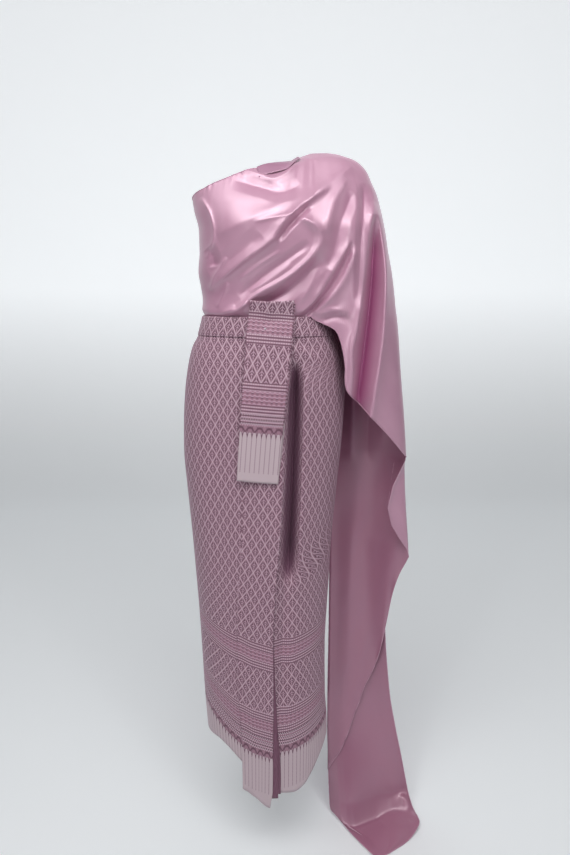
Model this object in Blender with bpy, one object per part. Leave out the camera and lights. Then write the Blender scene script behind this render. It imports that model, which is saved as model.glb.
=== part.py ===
"""Thai dress in a satin top with a cape and tail over a brocade wrap skirt, on the form it is worn in.

Metres, +Z up. The wearer faces -Y, and +X is the wearer's left. The origin is the middle of the
waistband's upper edge, and the floor is FLOOR_Z below it.
"""

import math
from collections import namedtuple

import bpy
import numpy as np

# Sizes of the dress
FLOOR_Z = -1.216
SATIN_WALL = 0.0018
BROCADE_WALL = 0.0016
BAND_WALL = 0.0020
SEAM_GAP = 0.0003
BAND_HEIGHT = 0.036
BAND_PROUD = 0.0008
TUCK_DEPTH = 0.026
TAB_UPPER_Z = 0.033
TAB_LOWER_Z = -0.316
TAB_WIDTH = 0.087
TAB_LEAN = 0.094
SHOULDER_TOP_Z = 0.3113
CAPE_SEAM_Z = -0.300
WAIST_DROP = 0.0055
LAYER = BROCADE_WALL + SEAM_GAP
ROWS_TO_WAIST = 17
NEAR_WAIST = 0.88
ROWS_BELOW = 6

Section = namedtuple("Section", "z left right front back")
Edge = namedtuple("Edge", "x z")
Fold = namedtuple("Fold", "start_x start_z mid_x mid_z end_x end_z height width")
Strip = namedtuple("Strip", "z left right y_left y_right wave")
Span = namedtuple("Span", "z left right")

# Outer sections of the satin top together with its cape
TOP = [
    Section(-0.540, 0.128, 0.3120, 0.080, 0.088),
    Section(-0.420, 0.128, 0.3040, 0.082, 0.092),
    Section(-0.297, 0.128, 0.2965, 0.086, 0.098),
    Section(-0.206, 0.128, 0.2881, 0.090, 0.103),
    Section(-0.110, 0.128, 0.2771, 0.093, 0.106),
    Section(-0.030, 0.1265, 0.2690, 0.0965, 0.093),
    Section(0.000, 0.1268, 0.2648, 0.0985, 0.089),
    Section(0.017, 0.1272, 0.2619, 0.1005, 0.088),
    Section(0.059, 0.1325, 0.2560, 0.1060, 0.090),
    Section(0.087, 0.1365, 0.2512, 0.1120, 0.096),
    Section(0.127, 0.1330, 0.2423, 0.1200, 0.104),
    Section(0.164, 0.1330, 0.2353, 0.1230, 0.109),
    Section(0.206, 0.1420, 0.2251, 0.1090, 0.108),
    Section(0.234, 0.1450, 0.2166, 0.0920, 0.098),
    Section(0.256, 0.1450, 0.2059, 0.0770, 0.084),
    Section(0.275, 0.1440, 0.1968, 0.0620, 0.068),
    Section(0.2895, 0.1420, 0.1839, 0.0490, 0.053),
    Section(0.298, 0.1400, 0.1709, 0.0380, 0.041),
    Section(0.304, 0.1380, 0.1534, 0.0285, 0.030),
    Section(0.308, 0.1360, 0.1397, 0.0195, 0.020),
    Section(SHOULDER_TOP_Z, 0.1350, 0.1183, 0.0, 0.0),
]

# Outer sections of the waistband and skirt
SKIRT = [
    Section(-1.080, 0.1340, 0.1345, 0.1180, 0.096),
    Section(-0.930, 0.1420, 0.1335, 0.1180, 0.097),
    Section(-0.853, 0.1462, 0.1285, 0.1180, 0.098),
    Section(-0.725, 0.1505, 0.1265, 0.1175, 0.101),
    Section(-0.630, 0.1542, 0.1300, 0.1165, 0.105),
    Section(-0.562, 0.1578, 0.1335, 0.1160, 0.108),
    Section(-0.478, 0.1625, 0.1370, 0.1150, 0.113),
    Section(-0.406, 0.1675, 0.1425, 0.1140, 0.119),
    Section(-0.340, 0.1722, 0.1480, 0.1130, 0.125),
    Section(-0.280, 0.1757, 0.1535, 0.1125, 0.129),
    Section(-0.208, 0.1737, 0.1583, 0.1120, 0.129),
    Section(-0.145, 0.1686, 0.1605, 0.1105, 0.121),
    Section(-0.087, 0.1590, 0.1550, 0.1060, 0.106),
    Section(-0.060, 0.1512, 0.1485, 0.1030, 0.099),
    Section(-0.036, 0.1385, 0.1390, 0.1005, 0.093),
    Section(0.000, 0.1290, 0.1285, 0.0985, 0.0885),
    Section(0.040, 0.1280, 0.1280, 0.1040, 0.090),
]

# Neckline from the right underarm to the side of the neck, with the dip of the cowl
NECK_FRONT = [
    Edge(-0.1438, 0.2251),
    Edge(-0.1154, 0.2374),
    Edge(-0.0727, 0.2529),
    Edge(-0.0338, 0.2677),
    Edge(-0.0170, 0.2712),
    Edge(-0.0018, 0.2665),
    Edge(0.0109, 0.2637),
    Edge(0.0237, 0.2653),
    Edge(0.0429, 0.2811),
    Edge(0.0600, 0.2965),
    Edge(0.0700, 0.3040),
]
NECK_BACK = [
    Edge(-0.1438, 0.2251),
    Edge(-0.1000, 0.2260),
    Edge(-0.0400, 0.2400),
    Edge(0.0250, 0.2700),
    Edge(0.0700, 0.3040),
]
NECK_LAYER = [
    Edge(-0.0150, 0.2700),
    Edge(0.0006, 0.2764),
    Edge(0.0297, 0.2844),
    Edge(0.0500, 0.2911),
    Edge(0.0640, 0.3000),
]
# Height of the shoulder line towards the neck
SHOULDER = [Edge(0.0500, 0.2935), Edge(0.0700, 0.3040), Edge(0.0912, 0.3100), Edge(0.1183, 0.3113)]

# Lower edge of the cape in front, from the waistband to its low outer corner
CAPE_HEM = [
    Edge(0.0935, -0.0055),
    Edge(0.1202, -0.0115),
    Edge(0.1356, -0.0250),
    Edge(0.1470, -0.0550),
    Edge(0.1540, -0.0950),
    Edge(0.1573, -0.1388),
    Edge(0.1933, -0.1792),
    Edge(0.2521, -0.2428),
    Edge(0.2965, -0.2970),
]

# Largest folds of the satin front: ridges are above 0 and troughs below, in metres
FRONT_FOLDS = [
    Fold(0.100, 0.235, 0.010, 0.150, -0.118, 0.055, 0.006, 0.013),
    Fold(0.080, 0.200, 0.030, 0.100, -0.075, 0.004, 0.006, 0.012),
    Fold(0.165, 0.130, 0.110, 0.040, 0.050, 0.000, 0.005, 0.012),
    Fold(0.185, 0.120, 0.155, 0.060, 0.100, 0.010, 0.006, 0.012),
    Fold(0.158, 0.245, 0.140, 0.205, 0.125, 0.160, -0.005, 0.013),
    Fold(0.195, 0.235, 0.186, 0.080, 0.157, -0.120, -0.016, 0.013),
    Fold(0.198, 0.200, 0.196, 0.040, 0.172, -0.150, 0.006, 0.011),
    Fold(0.208, 0.190, 0.220, 0.030, 0.205, -0.160, -0.015, 0.017),
    Fold(0.228, 0.160, 0.238, 0.010, 0.222, -0.205, 0.004, 0.011),
    Fold(-0.110, 0.205, -0.098, 0.155, -0.122, 0.110, -0.005, 0.010),
]
BACK_FOLDS = [
    Fold(0.105, 0.270, 0.020, 0.160, -0.110, 0.060, 0.006, 0.015),
    Fold(0.120, 0.240, 0.070, 0.100, -0.020, 0.000, 0.006, 0.014),
    Fold(0.150, 0.260, 0.150, 0.060, 0.155, -0.250, 0.007, 0.014),
    Fold(0.185, 0.240, 0.190, 0.020, 0.190, -0.290, -0.010, 0.018),
    Fold(0.205, 0.220, 0.228, 0.020, 0.232, -0.290, 0.006, 0.014),
]

# Left and right edges of the folded centre pleat, and the layers that show beside it
PLEAT = [
    Span(-1.062, -0.0552, 0.0040),
    Span(-1.018, -0.0552, 0.0098),
    Span(-0.886, -0.0556, 0.0106),
    Span(-0.828, -0.0600, 0.0113),
    Span(-0.680, -0.0628, 0.0112),
    Span(-0.570, -0.0594, 0.0157),
    Span(-0.482, -0.0523, 0.0218),
    Span(-0.323, -0.0461, 0.0330),
    Span(-0.212, -0.0430, 0.0390),
    Span(-0.050, -0.0390, 0.0502),
    Span(-0.036, -0.0385, 0.0510),
]
PLEAT_HEM = [Edge(-0.0560, -1.0247), Edge(-0.0298, -1.0363), Edge(0.0039, -1.0640), Edge(0.0300, -1.0640)]
RIGHT_HEM = [
    Edge(-0.1500, -0.9300),
    Edge(-0.1387, -0.9255),
    Edge(-0.1100, -0.9165),
    Edge(-0.0935, -0.9235),
    Edge(-0.0577, -0.9550),
    Edge(-0.0200, -0.9950),
]
LEFT_HEM = [
    Edge(-0.0200, -1.0100),
    Edge(0.0281, -1.0319),
    Edge(0.0586, -1.0352),
    Edge(0.0774, -1.0263),
    Edge(0.0973, -1.0000),
    Edge(0.1125, -0.9754),
    Edge(0.1345, -0.9450),
]
BACK_HEM_Z = -0.938
UNDER_PLEATS = [
    ("skirt_under_pleat_1", 0.0115, -0.66, -1.0420, 2),
    ("skirt_under_pleat_2", 0.0172, -0.74, -1.0330, 1),
]
SKIRT_TROUGHS = [
    Fold(0.052, -0.120, 0.047, -0.280, 0.040, -0.440, -0.009, 0.011),
    Fold(0.045, -0.420, 0.036, -0.560, 0.030, -0.760, -0.004, 0.010),
    Fold(-0.085, -0.100, -0.098, -0.300, -0.100, -0.520, -0.003, 0.022),
]

# Tail behind the left hip: edges, depths and the height of its waves
TAIL = [
    Strip(-0.3003, 0.1430, 0.2800, 0.0930, 0.0380, 0.0020),
    Strip(-0.4200, 0.1430, 0.2700, 0.0900, 0.0420, 0.0040),
    Strip(-0.5600, 0.1430, 0.2680, 0.0840, 0.0480, 0.0060),
    Strip(-0.7200, 0.1430, 0.2740, 0.0760, 0.0540, 0.0070),
    Strip(-0.9000, 0.1420, 0.2910, 0.0660, 0.0560, 0.0070),
    Strip(-1.0000, 0.1420, 0.3090, 0.0590, 0.0500, 0.0060),
    Strip(-1.0700, 0.1440, 0.3240, 0.0520, 0.0420, 0.0050),
    Strip(-1.1200, 0.1450, 0.3340, 0.0460, 0.0380, 0.0040),
    Strip(-1.1700, 0.1470, 0.3440, 0.0400, 0.0340, 0.0030),
]
Lying = namedtuple("Lying", "left_x left_y right_x right_y lift")
TAIL_ON_FLOOR = [
    Lying(0.1500, 0.0300, 0.3500, 0.0240, 0.0090),
    Lying(0.1600, 0.0120, 0.3560, 0.0080, 0.0040),
    Lying(0.1760, -0.0200, 0.3600, -0.0120, 0.0020),
    Lying(0.1980, -0.0500, 0.3590, -0.0300, 0.0010),
    Lying(0.2250, -0.0850, 0.3270, -0.0640, 0.0004),
    Lying(0.2480, -0.1120, 0.2780, -0.0970, 0.0002),
]
FLAP_HEM = [
    Edge(0.1430, -1.1050),
    Edge(0.1529, -1.0854),
    Edge(0.1823, -1.0339),
    Edge(0.2071, -0.9666),
    Edge(0.2326, -0.8895),
    Edge(0.2556, -0.8261),
    Edge(0.2719, -0.7295),
    Edge(0.2864, -0.6116),
    Edge(0.3118, -0.5255),
]

MATERIALS = {
    "satin": ((0.50, 0.32, 0.42, 1.0), 0.35),
    "satin_reverse": ((0.40, 0.22, 0.32, 1.0), 0.45),
    "brocade": ((0.42, 0.27, 0.36, 1.0), 0.60),
    "brocade_band": ((0.46, 0.31, 0.40, 1.0), 0.60),
}


def clear_scene():
    for item in list(bpy.data.objects):
        bpy.data.objects.remove(item, do_unlink=True)


def read(rows, key, column, at):
    """Smooth value of one column at a place along the rows, level past the ends."""
    xs = np.array([getattr(r, key) for r in rows], float)
    ys = np.array([getattr(r, column) for r in rows], float)
    order = np.argsort(xs)
    xs = xs[order]
    ys = ys[order]
    slope = np.diff(ys) / np.diff(xs)
    tangent = np.zeros(len(xs))
    same = slope[:-1] * slope[1:] > 0
    tangent[1:-1][same] = 2 * slope[:-1][same] * slope[1:][same] / (slope[:-1] + slope[1:])[same]
    tangent[0] = slope[0]
    tangent[-1] = slope[-1]
    at = np.clip(np.asarray(at, float), xs[0], xs[-1])
    i = np.clip(np.searchsorted(xs, at, side="right") - 1, 0, len(xs) - 2)
    step = xs[i + 1] - xs[i]
    t = (at - xs[i]) / step
    return (
        (2 * t**3 - 3 * t**2 + 1) * ys[i]
        + (t**3 - 2 * t**2 + t) * step * tangent[i]
        + (3 * t**2 - 2 * t**3) * ys[i + 1]
        + (t**3 - t**2) * step * tangent[i + 1]
    )


def blend(at, low, high):
    """0 below low and 1 above high, with soft ends."""
    t = np.clip((np.asarray(at, float) - low) / (high - low), 0, 1)
    return t * t * (3 - 2 * t)


def fold_height(folds, x, z):
    """Sum of the ridges and troughs at points of the front or back view."""
    total = np.zeros(np.shape(x))
    for f in folds:
        near = np.full(np.shape(x), 9.0)
        along = np.zeros(np.shape(x))
        for s in np.linspace(0, 1, 25):
            px = (1 - s) ** 2 * f.start_x + 2 * s * (1 - s) * f.mid_x + s * s * f.end_x
            pz = (1 - s) ** 2 * f.start_z + 2 * s * (1 - s) * f.mid_z + s * s * f.end_z
            d = np.hypot(x - px, z - pz)
            along = np.where(d < near, s, along)
            near = np.minimum(near, d)
        total = total + f.height * np.exp(-((near / f.width) ** 2)) * np.sin(math.pi * along) ** 0.6
    return total


def top_point(phi, q):
    """Point of the satin top: phi runs round the section and q down from the shoulder line.

    q is the root of the drop below the shoulder, below 0 for the back.
    """
    phi = np.asarray(phi, float)
    q = np.asarray(q, float)
    level = SHOULDER_TOP_Z - q * q
    half = np.where(np.cos(phi) >= 0, read(TOP, "z", "right", level), read(TOP, "z", "left", level))
    x = half * np.cos(phi)
    side = np.sin(phi) * np.where(q < 0, -1.0, 1.0)
    root_front = read(TOP_FRONT_BY_ROOT, "root", "depth", np.abs(q))
    root_back = read(TOP_BACK_BY_ROOT, "root", "depth", np.abs(q))
    z = level - (SHOULDER_TOP_Z - read(SHOULDER, "x", "z", x)) * blend(level, 0.27, SHOULDER_TOP_Z)
    front = side >= 0
    bulge = np.where(front, fold_height(FRONT_FOLDS, x, z), fold_height(BACK_FOLDS, x, z))
    bulge = bulge * np.clip(np.abs(side) * 3, 0, 1) * blend(z, -0.02, 0.02)
    free = blend(x, 0.10, 0.13)
    bulge = bulge + fold_height(FRONT_FOLDS, x, z) * np.where(front, 1, 0) * free * (
        1 - blend(z, -0.02, 0.02)
    ) * np.clip(np.abs(side) * 3, 0, 1)
    y = np.where(front, -root_front * np.abs(side) - bulge, root_back * np.abs(side) + bulge)
    return np.stack([x, y, z], axis=-1)


Rooted = namedtuple("Rooted", "root depth")
TOP_FRONT_BY_ROOT = [Rooted(math.sqrt(SHOULDER_TOP_Z - s.z), s.front) for s in reversed(TOP)]
TOP_BACK_BY_ROOT = [Rooted(math.sqrt(SHOULDER_TOP_Z - s.z), s.back) for s in reversed(TOP)]


def top_place(x, z, back=False):
    """phi and q of a place given by its x and z."""
    below = SHOULDER_TOP_Z - float(read(SHOULDER, "x", "z", x))
    level = min(z + below * float(blend(z, 0.27, 0.3113)), SHOULDER_TOP_Z)
    half = float(read(TOP, "z", "right" if x >= 0 else "left", level))
    phi = math.acos(max(-1.0, min(1.0, x / half)))
    q = math.sqrt(SHOULDER_TOP_Z - level)
    return phi, -q if back else q


def resample(points, count):
    """Places spread evenly along a line of places."""
    p = np.array(points, float)
    run = np.concatenate([[0], np.cumsum(np.linalg.norm(np.diff(p, axis=0), axis=1))])
    at = np.linspace(0, run[-1], count)
    return np.stack([np.interp(at, run, p[:, i]) for i in range(p.shape[1])], axis=-1)


def wall(name, grid, thickness, material, ghost=None, closed=False):
    """Closed wall between a grid of outer points and the same points moved in along the normal.

    ghost is the grid with one more row and column on each side, for true normals at the seams.
    """
    outer = np.array(grid, float)
    rows, columns = outer.shape[:2]
    if ghost is None:
        if closed:
            g = np.concatenate([outer[:, -1:], outer, outer[:, :1]], axis=1)
        else:
            before = 2 * outer[:, :1] - outer[:, 1:2]
            after = 2 * outer[:, -1:] - outer[:, -2:-1]
            g = np.concatenate([before, outer, after], axis=1)
        g = np.concatenate([2 * g[:1] - g[1:2], g, 2 * g[-1:] - g[-2:-1]], axis=0)
    else:
        g = np.array(ghost, float)
    along = g[2:, 1:-1] - g[:-2, 1:-1]
    across = g[1:-1, 2:] - g[1:-1, :-2]
    normal = np.cross(across, along)
    size = np.linalg.norm(normal, axis=-1, keepdims=True)
    normal = normal / np.maximum(size, 1e-12)
    inner = outer - normal * thickness
    verts = np.concatenate([outer.reshape(-1, 3), inner.reshape(-1, 3)])
    shift = rows * columns
    faces = []
    last = columns if closed else columns - 1
    for r in range(rows - 1):
        for c in range(last):
            a = r * columns + c
            b = r * columns + (c + 1) % columns
            d = (r + 1) * columns + c
            e = (r + 1) * columns + (c + 1) % columns
            faces.append((a, b, e, d))
            faces.append((a + shift, d + shift, e + shift, b + shift))
    for c in range(last):
        a = c
        b = (c + 1) % columns
        faces.append((a + shift, b + shift, b, a))
        a = (rows - 1) * columns + c
        b = (rows - 1) * columns + (c + 1) % columns
        faces.append((a, b, b + shift, a + shift))
    if not closed:
        for r in range(rows - 1):
            a = r * columns
            b = (r + 1) * columns
            faces.append((a, b, b + shift, a + shift))
            a = r * columns + columns - 1
            b = (r + 1) * columns + columns - 1
            faces.append((b, a, a + shift, b + shift))
    mesh = bpy.data.meshes.new(name)
    mesh.from_pydata([tuple(v) for v in verts], [], faces)
    mesh.validate()
    mesh.materials.append(material)
    piece = bpy.data.objects.new(name, mesh)
    bpy.context.scene.collection.objects.link(piece)
    mesh.shade_smooth()
    mesh.set_sharp_from_angle(angle=math.radians(50))
    return piece


def row_steps():
    """Shares of the way down at which every panel of the top has its rows, so that seams match."""
    waist = math.sqrt(SHOULDER_TOP_Z + WAIST_DROP) / math.sqrt(SHOULDER_TOP_Z - CAPE_SEAM_Z)
    return np.concatenate([waist_steps() * waist, np.linspace(waist, 1, ROWS_BELOW + 1)[1:]])


def waist_steps():
    """Shares of the way from the shoulder to the waist, closer together where the cloth is tucked in."""
    near = np.linspace(NEAR_WAIST, 1, 5)
    return np.concatenate([np.linspace(0, NEAR_WAIST, ROWS_TO_WAIST)[:-1], near])


def fan(upper, lower, point):
    """Grid from an upper line of places to a lower one, with its ghost ring."""
    steps = row_steps()
    ghost_steps = np.concatenate([[-steps[1]], steps, [2 - steps[-2]]])
    u = np.concatenate([2 * upper[:1] - upper[1:2], upper, 2 * upper[-1:] - upper[-2:-1]])
    v = np.concatenate([2 * lower[:1] - lower[1:2], lower, 2 * lower[-1:] - lower[-2:-1]])
    places = u[None] + (v - u)[None] * ghost_steps[:, None, None]
    ghost = point(places[..., 0], places[..., 1])
    return ghost[1:-1, 1:-1], ghost


def top_pieces(satin, reverse):
    """Front, back, cape and neck layer of the satin top."""
    half_gap = 0.0012
    neck = [top_place(e.x, e.z) for e in NECK_FRONT]
    split_phi = math.acos(0.105 / 0.1183)
    upper = resample(neck, 20)
    ridge = resample([neck[-1], (split_phi + half_gap, 0.0006)], 5)
    upper = np.concatenate([upper, ridge[1:]])
    upper[:, 1] = np.maximum(upper[:, 1], 0.0006)
    upper[0, 0] = math.pi - half_gap
    split_low = top_place(CAPE_HEM[0].x, CAPE_HEM[0].z)
    lower = resample(
        [(math.pi - half_gap, math.sqrt(SHOULDER_TOP_Z + TUCK_DEPTH)),
         (split_low[0] + 0.05, math.sqrt(SHOULDER_TOP_Z + TUCK_DEPTH))],
        len(upper),
    )
    lower[-1] = (split_low[0] + half_gap, split_low[1])
    grid, ghost = fan(upper, lower, lambda phi, q: tucked(top_point(phi, q)))
    wall("top_front", grid, SATIN_WALL, satin, ghost)

    hem = resample([top_place(e.x, e.z) for e in CAPE_HEM], 20)
    hem[0, 0] = split_low[0] - half_gap
    hem[-1] = (half_gap, math.sqrt(SHOULDER_TOP_Z - CAPE_SEAM_Z))
    top_line = resample([(split_phi - half_gap, 0.0006), (half_gap, 0.0006)], 20)
    top_line[-1] = (half_gap, 0.0006)
    grid, ghost = fan(top_line, hem, lambda phi, q: clear_of_skirt(over_band(top_point(phi, q))))
    wall("cape_front", grid, SATIN_WALL, satin, ghost)

    seam_q = math.sqrt(SHOULDER_TOP_Z - CAPE_SEAM_Z)
    waist_q = math.sqrt(SHOULDER_TOP_Z + WAIST_DROP)
    inner_low = top_place(0.143, CAPE_SEAM_Z, True)[0]
    inner_mid = top_place(0.100, -0.0055, True)[0]
    steps = row_steps()
    places = []
    for t in [-steps[1], *steps, 2 - steps[-2]]:
        q = 0.0006 + (seam_q - 0.0006) * t
        limit = np.interp(q, [0, waist_q, seam_q], [split_phi, inner_mid, inner_low])
        limit = limit - half_gap
        columns = 14
        line = [(half_gap + (limit - half_gap) * c / (columns - 1), -q) for c in range(-1, columns + 1)]
        places.append(line)
    places = np.array(places)
    ghost = clear_of_skirt(over_band(top_point(places[..., 0], places[..., 1])))
    wall("cape_back", ghost[1:-1, 1:-1], SATIN_WALL, satin, ghost)

    neck = [top_place(e.x, e.z, True) for e in NECK_BACK]
    upper = resample(neck, 16)
    ridge = resample([neck[-1], (split_phi + half_gap, -0.0006)], 5)
    upper = np.concatenate([upper, ridge[1:]])
    upper[:, 1] = np.minimum(upper[:, 1], -0.0006)
    upper[0, 0] = math.pi - half_gap
    lower = resample(
        [(math.pi - half_gap, -math.sqrt(SHOULDER_TOP_Z + TUCK_DEPTH)),
         (inner_mid + 0.05, -math.sqrt(SHOULDER_TOP_Z + TUCK_DEPTH))],
        len(upper),
    )
    lower[-1] = (inner_mid + half_gap, -waist_q)
    steps = waist_steps()
    ghost_steps = np.concatenate([[-steps[1]], steps, [2 - steps[-2]]])
    u = np.concatenate([2 * upper[:1] - upper[1:2], upper, 2 * upper[-1:] - upper[-2:-1]])
    v = np.concatenate([2 * lower[:1] - lower[1:2], lower, 2 * lower[-1:] - lower[-2:-1]])
    places = u[None] + (v - u)[None] * ghost_steps[:, None, None]
    ghost = tucked(top_point(places[..., 0], places[..., 1]))
    wall("top_back", ghost[1:-1, 1:-1][:, ::-1], SATIN_WALL, satin, ghost[:, ::-1])

    edge = resample([(e.x, e.z) for e in NECK_LAYER], 9)
    drop = np.linspace(0, 0.020, 5)
    x = np.repeat(edge[:, 0][None], 5, axis=0) + drop[:, None] * 0.25
    z = edge[:, 1][None] - drop[:, None]
    grid = np.zeros((*x.shape, 3))
    for i in np.ndindex(x.shape):
        phi, q = top_place(float(x[i]), float(z[i]))
        q = max(q, 0.03)
        across = top_point(phi + 0.01, q) - top_point(phi - 0.01, q)
        down = top_point(phi, q + 0.01) - top_point(phi, q - 0.01)
        normal = np.cross(down, across)
        grid[i] = top_point(phi, q) - normal / np.linalg.norm(normal) * (SATIN_WALL + 0.0009)
    wall("neck_layer", grid, 0.0012, reverse)


def skirt_half(z, column):
    return read(SKIRT, "z", column, z)


def skirt_point(phi, z, out=0.0, troughs=SKIRT_TROUGHS):
    """Point of the skirt's outer face: phi runs from the left seam over the front to the right seam."""
    phi = np.asarray(phi, float)
    z = np.asarray(z, float)
    left = skirt_half(z, "left")
    right = skirt_half(z, "right")
    centre = (right - left) / 2
    half = (right + left) / 2 + out
    c = np.cos(phi)
    s = np.sin(phi)
    power = 2 / 2.25
    x = centre + half * np.sign(c) * np.abs(c) ** power
    deep = np.where(s >= 0, skirt_half(z, "front"), skirt_half(z, "back")) + out
    y = -deep * np.sign(s) * np.abs(s) ** power
    if troughs:
        y = y - np.where(s > 0, fold_height(troughs, x, z), 0.0)
    return np.stack([x, y, z], axis=-1)


def skirt_phi(x, z, out=0.0):
    """phi of a place on the front, from its x."""
    left = skirt_half(z, "left")
    right = skirt_half(z, "right")
    c = np.clip((x - (right - left) / 2) / ((right + left) / 2 + out), -1, 1)
    return np.arccos(np.sign(c) * np.abs(c) ** (2.25 / 2))


def drawn_to_waist(points, out, share):
    """Points moved towards the ring round the waist, which lies out from the skirt's section."""
    x = points[..., 0]
    y = points[..., 1]
    z = points[..., 2]
    left = skirt_half(z, "left")
    right = skirt_half(z, "right")
    centre = (right - left) / 2
    wide = (right + left) / 2 + out
    deep = np.where(y <= 0, skirt_half(z, "front"), skirt_half(z, "back")) + out
    run = np.hypot(x - centre, y)
    c = (x - centre) / run
    s = y / run
    ring = (np.abs(c / wide) ** 2.25 + np.abs(s / deep) ** 2.25) ** (-1 / 2.25)
    reach = run + (ring - run) * share
    return np.stack([centre + c * reach, s * reach, z], axis=-1)


def tucked(points):
    """Points of the top, with its lower edge inside the waistband."""
    z = points[..., 2]
    inside = -(BAND_WALL - BAND_PROUD + SEAM_GAP + 0.0015)
    out = inside + (0.0020 - inside) * blend(z, 0.018, 0.040)
    return drawn_to_waist(points, out, 1 - blend(z, 0.014, 0.050))


def over_band(points):
    """Points of the cape, which follow the top at the seam and pass outside the waistband."""
    x = points[..., 0]
    z = points[..., 2]
    out = 0.0046 + (0.0020 - 0.0046) * blend(z, 0.018, 0.040)
    share = (1 - blend(z, 0.014, 0.050)) * (1 - blend(x, 0.095, 0.135)) * (z > -0.03)
    return drawn_to_waist(points, out, share)


def clear_of_skirt(points):
    """Points of the cape, kept outside the waistband and skirt that they hang over."""
    out = points.copy()
    x = points[..., 0]
    y = points[..., 1]
    z = points[..., 2]
    left = skirt_half(z, "left")
    right = skirt_half(z, "right")
    room = SATIN_WALL + 0.0030
    c = np.clip((x - (right - left) / 2) / ((right + left) / 2 + room), -1, 1)
    over = (1 - np.abs(c) ** 2.25) ** (1 / 2.25)
    front = -(skirt_half(z, "front") + room) * over
    back = (skirt_half(z, "back") + room) * over
    low = 1 - blend(z, 0.004, 0.030)
    hit = np.abs(c) < 1
    y_front = np.minimum(y, front)
    y_back = np.maximum(y, back)
    back_y = np.where(hit & (y > 0), y + (y_back - y) * low, y)
    out[..., 1] = np.where(hit & (y < 0), y + (y_front - y) * low, back_y)
    return out


def skirt_panel(name, columns, rows, limits, hem, material, out=0.0, top_z=None):
    """Panel between two x limits that may vary with z, down to a hem that varies with x."""
    top = -BAND_HEIGHT - 2.5 * SEAM_GAP if top_z is None else top_z
    places = []
    for r in range(-1, rows + 1):
        t = r / (rows - 1)
        line = []
        for c in range(-1, columns + 1):
            u = c / (columns - 1)
            z = top + (-0.98 - top) * t
            for _ in range(6):
                low, high = limits(z)
                phi = low + (high - low) * u
                x = float(skirt_point(phi, z, 0.0, None)[0])
                z = top + (hem(x) - top) * t
            line.append((phi, z))
        places.append(line)
    places = np.array(places)
    u = np.linspace(-1 / (columns - 1), 1 + 1 / (columns - 1), columns + 2)
    offset = np.full(places.shape[:2], 1.0) * (out(u) if callable(out) else out)
    ghost = skirt_point(places[..., 0], places[..., 1], offset)
    return wall(name, ghost[1:-1, 1:-1], BROCADE_WALL, material, ghost)


def skirt_pieces(brocade, band_material):
    gap = SEAM_GAP / 2 / 0.15
    middle = -0.0210

    def from_x(x, z):
        return float(skirt_phi(x, z))

    def front_hem(rows):
        return lambda x: float(read(rows, "x", "z", x))

    skirt_panel(
        "skirt_right", 12, 17,
        lambda z: (math.pi - gap, from_x(middle - SEAM_GAP / 2, z)),
        front_hem(RIGHT_HEM), brocade,
    )
    skirt_panel(
        "skirt_left", 13, 20,
        lambda z: (from_x(middle + SEAM_GAP / 2, z), gap),
        front_hem(LEFT_HEM), brocade,
    )
    back_limits = (2 * math.pi - gap, math.pi + gap)
    skirt_panel("skirt_back", 19, 14, lambda z: back_limits, lambda x: BACK_HEM_Z, brocade)
    skirt_panel(
        "skirt_pleat", 7, 22,
        lambda z: (
            from_x(float(read(PLEAT, "z", "left", z)), z),
            from_x(float(read(PLEAT, "z", "right", z)), z),
        ),
        front_hem(PLEAT_HEM), brocade,
        lambda u: LAYER * (1.0 + 2.1 * blend(u, 0.15, 0.50)) + 0.0002,
    )
    for name, beyond, top_z, hem_z, layer in UNDER_PLEATS:
        shift = beyond

        def limits(z, shift=shift):
            edge = float(read(PLEAT, "z", "right", max(z, -1.018)))
            share = float(1 - blend(z, -1.0, top_z + 0.02))
            return from_x(edge - 0.024, z), from_x(edge + 0.0012 + (shift - 0.0012) * share, z)

        out = LAYER * layer + 0.0001
        skirt_panel(name, 4, 9, limits, lambda x, hem_z=hem_z: hem_z, brocade, out, top_z)

    phi = np.linspace(0, 2 * math.pi, 57)[:-1]
    z = np.array([0.0, -0.012, -0.024, -BAND_HEIGHT])
    places = np.meshgrid(phi[::-1], z)
    ghost_z = np.array([0.012, *z, -0.048])
    g_phi = np.concatenate([phi[::-1][-1:], phi[::-1], phi[::-1][:1]])
    g = np.meshgrid(g_phi, ghost_z)
    grid = skirt_point(places[0], places[1], BAND_PROUD, None)
    ghost = skirt_point(g[0], g[1], BAND_PROUD, None)
    wall("waistband", grid, BAND_WALL, band_material, ghost, closed=True)


def tab_grid(rows, columns, upper, lower, side, width, out):
    """Grid of one layer of the front tab, which leans towards the wearer's right as it hangs."""
    u = np.linspace(0, 1, columns)
    v = np.linspace(0, 1, rows)
    grid = np.zeros((rows, columns, 3))
    for r, t in enumerate(v):
        z = upper + (lower - upper) * t
        centre = 0.0105 + TAB_LEAN * z * (1 - 0.25 * max(0.0, -z)) + side
        narrow = 0.004 * float(blend(z, -0.02, 0.035))
        half = width / 2 - narrow
        clear = 3.35 * LAYER
        lift = float(np.interp(z, [-0.10, -0.020, -0.002, 0.035], [clear, clear, 0.0036, 0.0058]))
        for c, s in enumerate(u):
            x = centre + half * (2 * s - 1)
            tilt = 0.006 * (x - centre) / half * 0.5
            zz = z - tilt * (1 - abs(2 * t - 1))
            phi = float(skirt_phi(x, zz, lift + out))
            grid[r, c] = skirt_point(phi, zz, lift + out, None)
    return grid


def tab_pieces(material):
    back_grid = tab_grid(20, 6, 0.0265, -0.288, 0.0035, TAB_WIDTH - 0.002, LAYER + 0.0004)
    wall("tab_back", back_grid, BROCADE_WALL, material)
    wall(
        "tab_front",
        tab_grid(24, 7, TAB_UPPER_Z, TAB_LOWER_Z, 0.0, TAB_WIDTH, 2 * LAYER + 0.0015),
        BROCADE_WALL, material,
    )


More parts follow.
